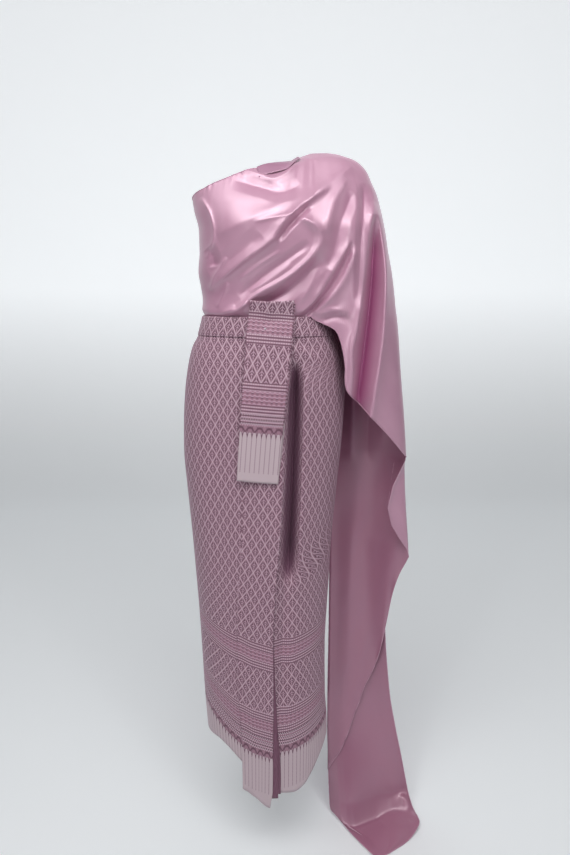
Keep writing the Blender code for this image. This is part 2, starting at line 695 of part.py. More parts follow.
def tail_point(u, row):
    """Point of the hanging tail: u runs from its left fold to its right edge."""
    x = row.left + (row.right - row.left) * u
    bow = 0.012 * np.sin(math.pi * u)
    wave = row.wave * np.sin(2 * math.pi * (1.6 * u + 0.12))
    y = row.y_left + (row.y_right - row.y_left) * np.maximum(u, 0) ** 1.6 + bow + wave
    return x, y


def tail_row(z):
    return Strip(z, *(float(read(TAIL, "z", k, z)) for k in ("left", "right", "y_left", "y_right", "wave")))


def tail_pieces(satin, reverse):
    columns = 15
    u = np.linspace(0, 1, columns)
    grid = []
    for z in np.linspace(TAIL[0].z, TAIL[-1].z, 21):
        x, y = tail_point(u, tail_row(z))
        grid.append(np.stack([x, y, np.full(columns, z)], axis=-1))
    for n, row in enumerate(TAIL_ON_FLOOR):
        x = row.left_x + (row.right_x - row.left_x) * u
        y = row.left_y + (row.right_y - row.left_y) * u
        ripple = (0.006 if n < 3 else 0.002) * np.sin(2 * math.pi * (1.6 * u + 0.12)) * (n < 5)
        z = FLOOR_Z + SATIN_WALL + row.lift + np.maximum(ripple, 0) + 0.010 * u**6 * (n in (2, 3))
        grid.append(np.stack([x, y, z], axis=-1))
    wall("tail", np.array(grid)[:, ::-1][:, ::-1], SATIN_WALL, satin)

    rows = 20
    columns = 11
    u = np.linspace(0, 1, columns)
    grid = []
    for t in np.linspace(0, 1, rows):
        line = []
        for s in u:
            low_z = float(read(FLAP_HEM, "x", "z", 0.1430 + (0.3118 - 0.1430) * s))
            z = CAPE_SEAM_Z - SEAM_GAP + (low_z - CAPE_SEAM_Z) * t
            outer = float(np.interp(-z, [0.30, 0.42, 0.5255, 0.62], [0.2966, 0.3040, 0.3118, 0.3118]))
            x = 0.1432 + (outer - 0.1432) * s
            row = tail_row(z)
            behind_x, behind_y = tail_point((x - row.left) / (row.right - row.left), row)
            back = float(top_point(*top_place(min(x, 0.3117), max(z, -0.53), True))[1])
            share = float(blend(-z, 0.30, 0.50))
            clear = 0.0040 + 0.010 * min(1.0, (x - 0.1432) / 0.05)
            hang = behind_y - clear
            y = back * (1 - share) + hang * share
            y = min(y, behind_y - 0.0036)
            line.append((x, y, z))
        grid.append(line)
    wall("tail_flap", np.array(grid), SATIN_WALL, satin)


def make_material(name):
    colour, roughness = MATERIALS[name]
    material = bpy.data.materials.new(name)
    material.use_nodes = True
    shader = material.node_tree.nodes["Principled BSDF"]
    shader.inputs["Base Color"].default_value = colour
    shader.inputs["Roughness"].default_value = roughness
    shader.inputs["Metallic"].default_value = 0.0
    return material


def main():
    clear_scene()
    satin = make_material("satin")
    reverse = make_material("satin_reverse")
    brocade = make_material("brocade")
    band = make_material("brocade_band")
    top_pieces(satin, reverse)
    skirt_pieces(brocade, band)
    tab_pieces(band)
    tail_pieces(satin, reverse)


main()
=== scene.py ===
"""Thai dress in satin and brocade, dressed in its real cloth on the plain solids of the frame.

Lengths are in metres, and those of the tables in millimetres. The dress faces -Y, and its cape and
tail hang at +X.
"""

import math
from collections import namedtuple
from functools import reduce

import bmesh
import bpy
import numpy as np
from bpy.props import FloatProperty, PointerProperty, StringProperty
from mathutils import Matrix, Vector


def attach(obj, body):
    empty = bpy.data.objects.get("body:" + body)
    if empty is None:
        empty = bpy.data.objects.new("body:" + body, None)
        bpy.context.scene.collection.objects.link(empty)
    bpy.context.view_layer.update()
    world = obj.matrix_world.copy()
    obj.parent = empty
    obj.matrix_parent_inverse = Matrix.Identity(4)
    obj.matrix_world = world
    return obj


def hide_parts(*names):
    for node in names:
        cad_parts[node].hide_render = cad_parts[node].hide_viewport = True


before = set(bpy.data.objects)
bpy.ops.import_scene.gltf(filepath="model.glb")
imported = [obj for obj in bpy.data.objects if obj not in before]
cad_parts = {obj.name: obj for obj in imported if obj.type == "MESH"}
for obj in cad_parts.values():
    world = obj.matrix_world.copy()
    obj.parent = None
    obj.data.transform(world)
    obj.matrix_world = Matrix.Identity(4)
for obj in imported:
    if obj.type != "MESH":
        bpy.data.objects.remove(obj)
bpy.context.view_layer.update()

bl_info = {
    "name": "Thai Dress",
    "version": (1, 0, 0),
    "blender": (4, 5, 0),
    "location": "View3D > Sidebar > Thai Dress",
    "description": "Builds a satin and brocade Thai dress with its stage",
    "category": "Add Mesh",
}

FLOOR_Z = -1.216
# The stage's wall, the radius of its sweep and half its width
WALL_Y = 3.4
SWEEP = 1.2
STAGE = 6.0
BAND_HEIGHT = 0.036
FLAP_TOP_Z = -0.300
# Top of the skirt's borders: where it hangs, and over the hem of the flat cloth
BORDER_TOP_Z = -0.660
BORDER_TOP = 0.3716
# Waist and skirt are ovals a little squarer than an ellipse, whose power is 2
OVAL = 2.25
# From one layer of brocade to the next
LAYER = 0.0019
# Depth of the satin tucked inside the waistband
TUCK = 0.024
# On the shoulder's ridge, x where the front and back give way to the cape
CAPE_FROM_X = 0.105
# Behind, x and z where the cape's inner edge leaves the waistband
CAPE_LEAVES = (0.100, -0.0055)
# Inner layer of the neck: height of its strip, and how far it lies inside the front
NECK_STRIP = 0.020
NECK_INSIDE = 0.0045
# The waistband is folded double
BAND_THICKNESS = 0.0018
# How far the skirt's panels reach up inside the waistband
BAND_LAP = 0.0040
# x where both front panels end under the pleat
UNDER_PLEAT_X = -0.0210
CAMERA_X = 0.037
# Points of a cloth nearer than the first are one, and edges shorter than the second go
SAME_POINT = 0.00008
SHORTEST_EDGE = 0.00002

Section = namedtuple("Section", "z left right front back")
Edge = namedtuple("Edge", "x z")
Crease = namedtuple("Crease", "height left right path")
Strip = namedtuple("Strip", "z left right y_left y_right wave")
Span = namedtuple("Span", "z left right")
Rooted = namedtuple("Rooted", "root depth")
Lying = namedtuple("Lying", "left_x left_y right_x right_y lift")


def table(kind, *rows):
    """Named rows in metres, from rows in millimetres."""
    return [kind(*np.array(row) / 1000) for row in rows]


def creases(*rows):
    """Creases in metres, from rows in millimetres: height, two widths, and places as x and z."""
    return [Crease(*np.array(row[:3]) / 1000, np.array(row[3:]) / 1000) for row in rows]


# Sections of the satin top together with its cape
TOP = table(
    Section,
    (-540, 128, 312, 80, 88), (-420, 128, 304, 82, 92), (-297, 128, 296.5, 86, 98),
    (-206, 128, 288.1, 90, 103), (-110, 128, 277.1, 93, 106), (-30, 126.5, 269, 96.5, 93),
    (0, 126.8, 264.8, 98.5, 89), (17, 127.2, 261.9, 100.5, 88), (59, 132.5, 256, 106, 90),
    (87, 136.5, 251.2, 112, 96), (127, 133, 242.3, 120, 104), (164, 133, 235.3, 123, 109),
    (206, 142, 225.1, 109, 108), (234, 145, 216.6, 92, 98), (256, 145, 205.9, 77, 84),
    (275, 144, 196.8, 62, 68), (289.5, 142, 183.9, 49, 53), (298, 140, 170.9, 38, 41),
    (304, 138, 153.4, 28.5, 30), (308, 136, 139.7, 19.5, 20), (311.3, 135, 118.3, 0, 0),
)
SHOULDER_TOP_Z = TOP[-1].z
TOP_FRONT_BY_ROOT = [Rooted(math.sqrt(SHOULDER_TOP_Z - s.z), s.front) for s in reversed(TOP)]
TOP_BACK_BY_ROOT = [Rooted(math.sqrt(SHOULDER_TOP_Z - s.z), s.back) for s in reversed(TOP)]

# Sections of the waistband and the skirt
SKIRT = table(
    Section,
    (-1080, 134, 134.5, 118, 96), (-930, 142, 133.5, 118, 97), (-853, 146.2, 128.5, 118, 98),
    (-725, 150.5, 126.5, 117.5, 101), (-630, 154.2, 130, 116.5, 105),
    (-562, 157.8, 133.5, 116, 108), (-478, 162.5, 137, 115, 113), (-406, 167.5, 142.5, 114, 119),
    (-340, 172.2, 148, 113, 125), (-280, 175.7, 153.5, 112.5, 129), (-208, 173.7, 158.3, 112, 129),
    (-145, 168.6, 160.5, 110.5, 121), (-87, 159, 155, 106, 106), (-60, 151.2, 148.5, 103, 99),
    (-36, 138.5, 139, 100.5, 93), (0, 129, 128.5, 98.5, 88.5), (40, 128, 128, 104, 90),
)

NECK_FRONT = table(
    Edge,
    (-143.8, 225.1), (-115.4, 237.4), (-72.7, 252.9), (-33.8, 267.7), (-17, 271.2), (-1.8, 266.5),
    (10.9, 263.7), (23.7, 265.3), (42.9, 281.1), (60, 296.5), (70, 304),
)
NECK_BACK = table(Edge, (-143.8, 225.1), (-100, 226), (-40, 240), (25, 270), (70, 304))
NECK_LAYER = table(Edge, (-15, 270), (0.6, 276.4), (29.7, 284.4), (45, 291.5), (64, 298.5))
SHOULDER = table(Edge, (50, 293.5), (70, 304), (91.2, 310), (118.3, 311.3))
CAPE_HEM = table(
    Edge,
    (94.5, 2), (106, -4), (120.2, -11.5), (135.6, -25), (147, -55), (154, -95), (157.3, -138.8),
    (193.3, -179.2), (252.1, -242.8), (296.5, -297),
)

# Folds of the satin front, each a line of x, z places: ridges above 0, troughs below.
# Looking along the line, left and right are the widths of its two flanks.
FRONT_CREASES = creases(
    (4.5, 12, 12, (168, 284), (130, 252), (92, 222)),
    (10.5, 5.5, 19, (120, 240), (88, 216), (42, 177), (17, 142), (-40, 103), (-110, 52)),
    (-8.5, 5, 5.5, (83, 204), (60, 180), (40, 160), (22, 138)),
    (10, 10, 6, (58, 178), (80, 172), (98, 156), (100, 134), (86, 112), (60, 88), (30, 68),
     (-23, 39), (-65, 4)),
    (-5.5, 5, 6, (81, 135), (42, 108), (-5, 75), (-50, 40)),
    (-10, 12, 8, (104, 110), (72, 78), (30, 42), (-20, 18)),
    (-8, 4, 4, (165, 138), (149, 104), (128, 65), (99, 27), (70, -2)),
    (6.5, 3, 11, (161, 142), (137, 104), (116, 70), (90, 30), (56, 2)),
    (6.5, 10, 3, (168, 133), (160, 100), (140, 59), (110, 25), (80, 1)),
    (-7, 10, 12, (164, 230), (151, 201), (140, 173), (130, 123), (115, 90)),
    (6, 8, 14, (155, 257), (131, 220), (119, 186), (112, 150)),
    (-10, 12, 8, (186, 250), (184, 198), (180, 129), (180, 70), (178, 20)),
    (15, 8, 18, (207, 216), (198, 163), (191, 104), (184, 39), (174, -24), (166, -63), (169, -111),
     (169, -145), (168, -200)),
    (13, 18, 8, (211, 217), (222, 156), (229, 105), (231, 33), (230, -25), (224, -84), (215, -143),
     (206, -200), (196, -270)),
    (-33, 15, 14, (208, 191), (208, 127), (206, 52), (200, -24), (192, -102), (186, -165),
     (182, -300)),
    (7, 6, 12, (-40, 272), (-5, 257), (17, 251), (42, 264), (66, 292)),
    (-4.5, 9, 11, (-60, 250), (-5, 233), (30, 224), (65, 240)),
    (5, 4, 6, (-122, 222), (-102, 189), (-95, 148), (-113, 110)),
    (-6, 9, 9, (-108, 130), (-98, 112), (-96, 94)),
    (4.5, 4.5, 4.5, (-70, 111), (-95, 78), (-107, 52)),
    (6, 4.5, 5.5, (92, 3), (109, 8), (126, 14), (164, 9)),
    (-6, 6, 5, (104, -6), (125, 2), (145, 3), (165, -2)),
    (6, 5.5, 5.5, (-85, -4), (-63, 9), (-30, 30)),
    (5.5, 5, 5, (-120, 8), (-87, 6), (-55, 20)),
    (4.5, 20, 20, (60, 215), (-20, 178), (-90, 150)),
    (-4.5, 12, 12, (-5, 148), (-55, 112), (-108, 82)),
    (3, 4.5, 4.5, (-70, 66), (-81, 40), (-94, 18)),
    (2.8, 3, 4, (72, 196), (50, 184), (20, 178), (-20, 170)),
    (2.6, 2.8, 3.8, (30, 120), (-10, 96), (-50, 68)),
    (2.6, 2.8, 4, (52, 98), (10, 70), (-30, 48)),
    (2.4, 3, 4, (96, 92), (84, 58), (64, 26)),
    (2, 4, 4, (70, 300), (82, 293), (97, 290)),
)
# The back isn't shown, so its folds run from the shoulder as those of the front do
BACK_CREASES = creases(
    (8.5, 6, 14, (110, 285), (60, 215), (0, 145), (-60, 90), (-115, 50)),
    (-6, 7, 8, (110, 265), (70, 195), (20, 125), (-50, 60)),
    (8.5, 7, 13, (120, 270), (90, 180), (40, 90), (-30, 10)),
    (-6.5, 8, 8, (128, 250), (105, 150), (70, 60), (30, 5)),
    (8, 8, 11, (140, 270), (130, 150), (110, 40), (105, -50)),
    (9, 7, 12, (155, 270), (160, 140), (160, 0), (158, -250)),
    (-15, 12, 12, (175, 250), (185, 120), (190, -40), (186, -330)),
    (9, 12, 7, (195, 240), (215, 100), (222, -60), (222, -330)),
    (-6, 11, 11, (212, 210), (238, 60), (248, -80), (252, -300)),
    (4.5, 20, 20, (40, 240), (-40, 180), (-110, 150)),
    (5, 6, 6, (-120, 10), (-80, 8), (-40, 22)),
)

PLEAT = table(
    Span,
    (-1062, -55.2, 4), (-1018, -55.2, 9.8), (-886, -55.6, 10.6), (-828, -60, 11.3),
    (-680, -62.8, 11.2), (-570, -59.4, 15.7), (-482, -52.3, 21.8), (-323, -46.1, 33),
    (-212, -43, 39), (-50, -39, 50.2), (-36, -38.5, 51),
)
PLEAT_HEM = table(Edge, (-56, -1024.7), (-29.8, -1036.3), (3.9, -1064), (30, -1064))
RIGHT_HEM = table(
    Edge,
    (-150, -930), (-138.7, -925.5), (-110, -916.5), (-93.5, -923.5), (-57.7, -955), (-20, -995),
)
LEFT_HEM = table(
    Edge,
    (-20, -1010), (28.1, -1031.9), (58.6, -1035.2), (77.4, -1026.3), (97.3, -1000), (112.5, -975.4),
    (134.5, -945),
)
BACK_HEM_Z = -0.938
# How the borders of each panel run: slant, climb to the side, and how much lower rows draw together
BORDER_CLIMB = {
    "skirt_right": (0.0, 0.040, 0.20),
    "skirt_left": (0.0, 0.036, 0.02),
    "skirt_back": (0.0, 0.038, 0.10),
    "skirt_pleat": (0.34, 0.0, 0.0),
}
# Name, width beyond the pleat, top, hem, layer and flat size
UNDER_PLEATS = [
    ("skirt_under_pleat_1", 0.0115, -0.66, -1.0420, 2, (0.026, 0.474)),
    ("skirt_under_pleat_2", 0.0172, -0.74, -1.0330, 1, (0.026, 0.399)),
]
SKIRT_CREASES = creases(
    (-48, 12, 12, (57, -80), (53, -280), (42, -540)),
    (-7, 13, 10, (45, -440), (34, -600), (26, -860)),
    (3.5, 10, 10, (76, -90), (72, -300), (68, -560)),
    (-3, 20, 20, (-85, -100), (-98, -300), (-100, -520)),
    (1.5, 12, 12, (-120, -60), (-130, -150), (-128, -260)),
    (-4, 5, 5, (40, -40), (72, -50), (104, -68)),
    (3, 6, 6, (50, -54), (80, -66), (110, -90)),
    (-2.2, 6, 6, (52, -66), (84, -92), (108, -130)),
    (-2.5, 5, 5, (-40, -42), (-62, -48), (-88, -66)),
    (1.5, 15, 15, (100, -600), (95, -780), (85, -980)),
    (-1.8, 18, 18, (-110, -620), (-108, -760), (-100, -900)),
)

TAIL = table(
    Strip,
    (-300.3, 143, 280, 93, 38, 2), (-420, 143, 270, 90, 42, 4), (-560, 143, 268, 84, 48, 6),
    (-720, 143, 274, 76, 54, 7), (-900, 142, 291, 66, 56, 7), (-1000, 142, 309, 59, 50, 6),
    (-1070, 144, 324, 52, 42, 5), (-1120, 145, 334, 46, 38, 4), (-1170, 147, 344, 40, 34, 3),
)
TAIL_ON_FLOOR = table(
    Lying,
    (150, 30, 350, 24, 9), (160, 12, 356, 8, 4), (176, -20, 360, -12, 2), (198, -50, 359, -30, 1),
    (225, -85, 327, -64, 0.4), (248, -112, 278, -97, 0.2),
)
FLAP_HEM = table(
    Edge,
    (143, -1105), (152.9, -1085.4), (182.3, -1033.9), (207.1, -966.6), (232.6, -889.5),
    (255.6, -826.1), (271.9, -729.5), (286.4, -611.6), (311.8, -525.5),
)

HEM_RADIUS = 0.0009
# Columns of the satin's grids along the shoulder's ridge
RIDGE_COLUMNS = 8
# Roundness of the creases, and the depth of trough that has the whole of the painted fold shade
RIDGE_TIP = 0.0026
TROUGH_TIP = 0.0016
FULLY_SHADED_DEPTH = 0.030
# How far the tail comes forward where it breaks on the floor, from its inner fold to its outer edge
BREAK_AT = [0.0, 0.06, 0.12, 0.20, 0.28, 0.40, 0.60, 0.80, 0.93, 1.0]
BREAK_Y = [-0.015, -0.034, -0.049, -0.056, -0.054, -0.044, -0.026, -0.010, 0.003, 0.008]
# Repeats of the woven borders
STRIPE_PITCH = 0.0062
DASH_PITCH = 0.0046
ROW_PITCH = 0.0078
ZIGZAG_PITCH = 0.0094
ZIGZAG_RISE = 0.0060
SCROLL_PITCH = 0.0094
SCROLL_RISE = 0.0042
SCROLL_ROW = 0.0125
SPEAR_PITCH = 0.0092
PIN_PITCH = 0.0034
# Grains per metre. Satin floats 0.25 mm apart are too fine to show, so they are drawn 0.8 mm wide
SATIN_GRAIN = (1250.0, 90.0, 1.0)
# Brocade threads 0.4 mm apart are too fine to show, so the ribs are drawn 1.2 mm wide
WEAVE_RIBS = (830.0, 830.0, 1.0)
# Float bundles 0.8 mm apart on its back are too fine to show, so they are drawn 2 mm wide
FLOAT_BUNDLES = (480.0, 60.0, 1.0)
THREAD_RELIEF = 0.0004
# Painted shade, laid in the troughs of the satin's folds
PAINTED_FOLD_SHADE = "#A04C7C"
BROCADE = {
    # Painted shade of the deep fold beside the tab
    "painted_valley_shade": "#6A4058",
    "ground": "#987283",
    "warm": "#986D80",
    "bud": "#674254",
    "thread": "#D2BAC5",
    "pale_thread": "#C09EAE",
    "hem": "#BFACB3",
    "pin": "#876876",
    "reverse": "#7A4E64",
    "reverse_shade": "#693F55",
}
# Heights of the borders over the hem; the lattice has its width and height of a diamond
SKIRT_BANDS = {
    "lattice": (0.0182, 0.0300),
    "pins": (0.0107, 0.0922),
    "spear": (0.0922, 0.1198),
    "scroll": (0.1198, 0.1510),
    "stripes": [(0.1510, 0.1700), (0.1920, 0.2125), (0.3119, 0.3313), (0.3537, 0.3716)],
    "dots": [(0.1700, 0.1920), (0.3313, 0.3537)],
}
TAB_BANDS = {
    "lattice": (0.0186, 0.0355),
    "pins": (0.0190, 0.0890),
    "spear": (0.0890, 0.1120),
    "scroll": (0.1120, 0.1350),
    "stripes": [(0.1350, 0.1540), (0.1800, 0.1960), (0.2680, 0.2870), (0.3135, 0.3290)],
    "dots": [(0.1540, 0.1800), (0.2870, 0.3135)],
}


def read(rows, key, column, at):
    """Smooth value of one column at a place along the rows, level past the ends."""
    xs = np.array([getattr(r, key) for r in rows], float)
    ys = np.array([getattr(r, column) for r in rows], float)
    order = np.argsort(xs)
    xs = xs[order]
    ys = ys[order]
    slope = np.diff(ys) / np.diff(xs)
    tangent = np.zeros(len(xs))
    same = slope[:-1] * slope[1:] > 0
    tangent[1:-1][same] = 2 * slope[:-1][same] * slope[1:][same] / (slope[:-1] + slope[1:])[same]
    tangent[0] = slope[0]
    tangent[-1] = slope[-1]
    at = np.clip(np.asarray(at, float), xs[0], xs[-1])
    i = np.clip(np.searchsorted(xs, at, side="right") - 1, 0, len(xs) - 2)
    step = xs[i + 1] - xs[i]
    t = (at - xs[i]) / step
    return (
        (2 * t**3 - 3 * t**2 + 1) * ys[i]
        + (t**3 - 2 * t**2 + t) * step * tangent[i]
        + (3 * t**2 - 2 * t**3) * ys[i + 1]
        + (t**3 - t**2) * step * tangent[i + 1]
    )


def blend(at, low, high):
    """0 below low and 1 above high, with soft ends."""
    t = np.clip((np.asarray(at, float) - low) / (high - low), 0, 1)
    return t * t * (3 - 2 * t)


def smooth_line(points, count):
    """Places along a smooth curve through the given ones."""
    p = np.array(points, float)
    p = np.concatenate([2 * p[:1] - p[1:2], p, 2 * p[-1:] - p[-2:-1]])
    line = []
    for s in np.linspace(0, len(p) - 3 - 1e-9, count):
        i = int(s)
        t = s - i
        a, b, c, d = p[i : i + 4]
        square, cube = 2 * a - 5 * b + 4 * c - d, 3 * b - a - 3 * c + d
        line.append(0.5 * (2 * b + (c - a) * t + square * t * t + cube * t**3))
    return np.array(line)


def crease_height(folds, x, z):
    """Sum of the ridges and troughs at places of the front or back view."""
    total = np.zeros(np.shape(x))
    for crease in folds:
        line = smooth_line(crease.path, 28)
        near = np.full(np.shape(x), 9.0)
        along = np.zeros(np.shape(x))
        flank = np.zeros(np.shape(x))
        for k in range(len(line) - 1):
            start = line[k]
            step = line[k + 1] - start
            dx, dz = x - start[0], z - start[1]
            t = np.clip((dx * step[0] + dz * step[1]) / (step @ step), 0, 1)
            far = np.hypot(dx - step[0] * t, dz - step[1] * t)
            side = (step[0] * dz - step[1] * dx) / np.linalg.norm(step)
            closer = far < near
            along = np.where(closer, (k + t) / (len(line) - 1), along)
            flank = np.where(closer, side, flank)
            near = np.minimum(near, far)
        width = crease.right + (crease.left - crease.right) * blend(flank, -0.0012, 0.0012)
        ends = np.clip(np.minimum(along, 1 - along) / 0.20, 0, 1)
        if crease.height > 0:
            tip = np.maximum(RIDGE_TIP, 0.22 * width)
            form = np.exp(-1.5 * (np.sqrt(tip**2 + near**2) - tip) / width)
        else:
            away = (np.sqrt(TROUGH_TIP**2 + near**2) - TROUGH_TIP) / (1.7 * width)
            form = np.clip(1 - away, 0, 1) ** 1.25
        total = total + crease.height * form * (ends * (2 - ends))
    return total


def resample(points, count):
    """Places spread evenly along a line of places."""
    p = np.array(points, float)
    run = np.concatenate([[0], np.cumsum(np.linalg.norm(np.diff(p, axis=0), axis=1))])
    at = np.linspace(0, run[-1], count)
    return np.stack([np.interp(at, run, p[:, i]) for i in range(p.shape[1])], axis=-1)


def top_point(phi, q):
    """Point of the satin before its folds: phi runs round and q is the root of the drop."""
    level = SHOULDER_TOP_Z - q * q
    half = np.where(np.cos(phi) >= 0, read(TOP, "z", "right", level), read(TOP, "z", "left", level))
    x = half * np.cos(phi)
    side = np.sin(phi) * np.where(q < 0, -1.0, 1.0)
    front = read(TOP_FRONT_BY_ROOT, "root", "depth", np.abs(q))
    back = read(TOP_BACK_BY_ROOT, "root", "depth", np.abs(q))
    z = level - (SHOULDER_TOP_Z - read(SHOULDER, "x", "z", x)) * blend(level, 0.27, SHOULDER_TOP_Z)
    y = np.where(side >= 0, -front, back) * np.abs(side)
    return np.stack([x, y, z], axis=-1)


def top_place(x, z, back=False):
    """phi and q of places given by their x and z."""
    drop = (SHOULDER_TOP_Z - read(SHOULDER, "x", "z", x)) * blend(z, 0.27, SHOULDER_TOP_Z)
    level = np.minimum(z + drop, SHOULDER_TOP_Z)
    half = np.where(np.asarray(x) >= 0, read(TOP, "z", "right", level), read(TOP, "z", "left", level))
    q = np.sqrt(SHOULDER_TOP_Z - level)
    return np.arccos(np.clip(x / half, -1, 1)), -q if back else q


def skirt_oval(z, out=0.0):
    """Middle, half width, and depths in front and behind, of waistband and skirt at a height."""
    left, right, front, back = (read(SKIRT, "z", key, z) for key in Section._fields[1:])
    return (right - left) / 2, (right + left) / 2 + out, front + out, back + out


def waist_form(points):
    """Points of the top: drawn inside the waistband, or outside it under the cape."""
    x, y, z = points[..., 0], points[..., 1], points[..., 2]
    inside, outside = -0.0028, 0.0046
    low = inside + (outside - inside) * blend(x, 0.086, 0.097)
    out = low + (0.0030 - low) * blend(z, 0.001, 0.016)
    centre, wide, front, back = skirt_oval(z, out)
    deep = np.where(y <= 0, front, back)
    run = np.maximum(np.hypot(x - centre, y), 1e-6)
    c, s = (x - centre) / run, y / run
    ring = (np.abs(c / wide) ** OVAL + np.abs(s / deep) ** OVAL) ** (-1 / OVAL)
    share = (1 - blend(z, 0.004, 0.050)) * (1 - blend(x, 0.100, 0.140)) * blend(z, -0.05, -0.03)
    reach = run + (ring - run) * share
    return np.stack([centre + c * reach, s * reach, z], axis=-1)


def clear_of_skirt(points):
    """Points of the cape, kept outside the waistband and skirt that they hang over."""
    x, y, z = points[..., 0], points[..., 1], points[..., 2]
    centre, wide, front, back = skirt_oval(z, 0.0048)
    c = np.clip((x - centre) / wide, -1, 1)
    over = (1 - np.abs(c) ** OVAL) ** (1 / OVAL)
    low = (1 - blend(z, 0.004, 0.030)) * blend(x, 0.095, 0.105)
    room = np.where(y < 0, np.minimum(y, -front * over), np.maximum(y, back * over))
    return np.stack([x, np.where(np.abs(c) < 1, y + (room - y) * low, y), z], axis=-1)


def satin_point(phi, q):
    """Point of the satin top with its folds."""
    p = clear_of_skirt(waist_form(top_point(phi, q)))
    x, y, z = p[..., 0], p[..., 1], p[..., 2]
    side = np.sin(phi) * np.where(q < 0, -1.0, 1.0)
    edge = np.clip(np.abs(side) * 2.6, 0, 1) * blend(np.abs(q), 0.02, 0.12)
    tucked = np.maximum(blend(z, -0.002, 0.012), blend(x, 0.097, 0.105))
    front = crease_height(FRONT_CREASES, x, z)
    back = crease_height(BACK_CREASES, x, z)
    y = y + np.where(side >= 0, -front, back) * edge * tucked
    return np.stack([x, y, z], axis=-1)


def fold_depth(points, folds):
    """How deep each place lies in a trough, 0 on the open cloth and 1 in the deepest: the share of the
    painted shade of the folds.
    """
    return np.clip(-crease_height(folds, points[..., 0], points[..., 2]) / FULLY_SHADED_DEPTH, 0, 1)


def skirt_point(phi, z, out=0.0, folds=SKIRT_CREASES):
    """Point of the skirt's outer face: phi runs from its +X seam over the front to the other."""
    phi, z = np.asarray(phi, float), np.asarray(z, float)
    centre, wide, front, back = skirt_oval(z, out)
    c, s = np.cos(phi), np.sin(phi)
    x = centre + wide * np.sign(c) * np.abs(c) ** (2 / OVAL)
    y = -np.where(s >= 0, front, back) * np.sign(s) * np.abs(s) ** (2 / OVAL)
    if folds:
        y = y - np.where(s > 0, crease_height(folds, x, z), 0.0)
    return np.stack([x, y, z], axis=-1)


def skirt_phi(x, z, out=0.0):
    """phi of a place on the front, from its x."""
    centre, wide, _, _ = skirt_oval(z, out)
    c = np.clip((x - centre) / wide, -1, 1)
    return np.arccos(np.sign(c) * np.abs(c) ** (OVAL / 2))


def runs_of(grid):
    """Lengths across and along a grid of points, from its middle column and its last row."""
    across = np.linalg.norm(np.diff(grid, axis=1), axis=-1)
    u = np.concatenate([np.zeros((grid.shape[0], 1)), np.cumsum(across, axis=1)], axis=1)
    u = u - u[:, grid.shape[1] // 2][:, None]
    along = np.linalg.norm(np.diff(grid, axis=0), axis=-1)
    v = np.concatenate([np.zeros((1, grid.shape[1])), np.cumsum(along, axis=0)], axis=0)
    return u, v[-1] - v


def link_piece(name, mesh, *materials):
    """An object of a mesh with its materials, put in the scene."""
    for material in materials:
        mesh.materials.append(material)
    piece = bpy.data.objects.new(name, mesh)
    bpy.context.scene.collection.objects.link(piece)
    return piece


def cloth(name, grids, material, thickness, cloth_place=None, closed=False, inner=None, shade_depths=None):
    """Thin cloth through one or more grids of points, joined where they meet."""
    verts, faces, places = [], [], []
    for n, grid in enumerate(grids):
        rows, columns = grid.shape[:2]
        first = len(verts)
        u, v = runs_of(grid) if cloth_place is None else cloth_place[n]
        verts.extend(map(tuple, grid.reshape(-1, 3)))
        places.extend(zip(u.reshape(-1), v.reshape(-1)))
        for r in range(rows - 1):
            for c in range(columns if closed else columns - 1):
                a, b = r * columns + c, r * columns + (c + 1) % columns
                faces.append((first + a, first + b, first + b + columns, first + a + columns))
    mesh = bpy.data.meshes.new(name)
    mesh.from_pydata(verts, [], faces)
    layer = mesh.uv_layers.new(name="cloth")
    corner = np.array([places[loop.vertex_index] for loop in mesh.loops], np.float32)
    layer.data.foreach_set("uv", corner.reshape(-1))
    # Depth of each place in a trough, kept for the painted shade of the folds
    if shade_depths:
        depth = mesh.attributes.new("fold_depth", "FLOAT", "POINT")
        values = np.concatenate([d.reshape(-1) for d in shade_depths]).astype(np.float32)
        depth.data.foreach_set("value", values)
    bm = bmesh.new()
    bm.from_mesh(mesh)
    bmesh.ops.remove_doubles(bm, verts=bm.verts, dist=SAME_POINT)
    bmesh.ops.dissolve_degenerate(bm, edges=bm.edges, dist=SHORTEST_EDGE)
    bm.to_mesh(mesh)
    bm.free()
    mesh.shade_smooth()
    piece = link_piece(name, mesh, *filter(None, (material, inner)))
    solid = piece.modifiers.new("thickness", "SOLIDIFY")
    solid.thickness = thickness
    solid.offset = -1
    solid.use_even_offset = False
    solid.material_offset = 1 if inner else 0
    return piece


def to_linear(code):
    """Linear colour of an sRGB hex code."""
    rgb = [int(code[i : i + 2], 16) / 255 for i in (1, 3, 5)]
    return [c / 12.92 if c <= 0.04045 else ((c + 0.055) / 1.055) ** 2.4 for c in rgb] + [1.0]


def add(tree, kind, *links, **settings):
    """One node of a tree with its settings, its inputs in order, and inputs by name in 'sockets'.

    A tuple of a Math operation and its inputs is a sum: it can be the node, or an input of one.
    """
    if isinstance(kind, tuple):
        kind, links, settings = "Math", kind[1:], {"operation": kind[0]}
    node = tree.nodes.new("ShaderNode" + kind)
    sockets = settings.pop("sockets", {})
    for key, value in settings.items():
        setattr(node, key, value)
    for socket, value in [*zip(node.inputs, links), *((node.inputs[k], v) for k, v in sockets.items())]:
        if isinstance(value, tuple) and isinstance(value[0], str):
            value = add(tree, value)
        if isinstance(value, bpy.types.Node):
            value = value.outputs[0]
        if isinstance(value, bpy.types.NodeSocket):
            tree.links.new(value, socket)
        else:
            socket.default_value = value
    return node


def new_material(name):
    """An empty material and its node tree."""
    material = bpy.data.materials.new(name)
    material.use_nodes = True
    material.node_tree.nodes.clear()
    return material, material.node_tree


def finish_material(material, tree, sockets):
    """Ends a material with its shader, whose inputs are given by name."""
    add(tree, "OutputMaterial", add(tree, "BsdfPrincipled", sockets=sockets))
    return material


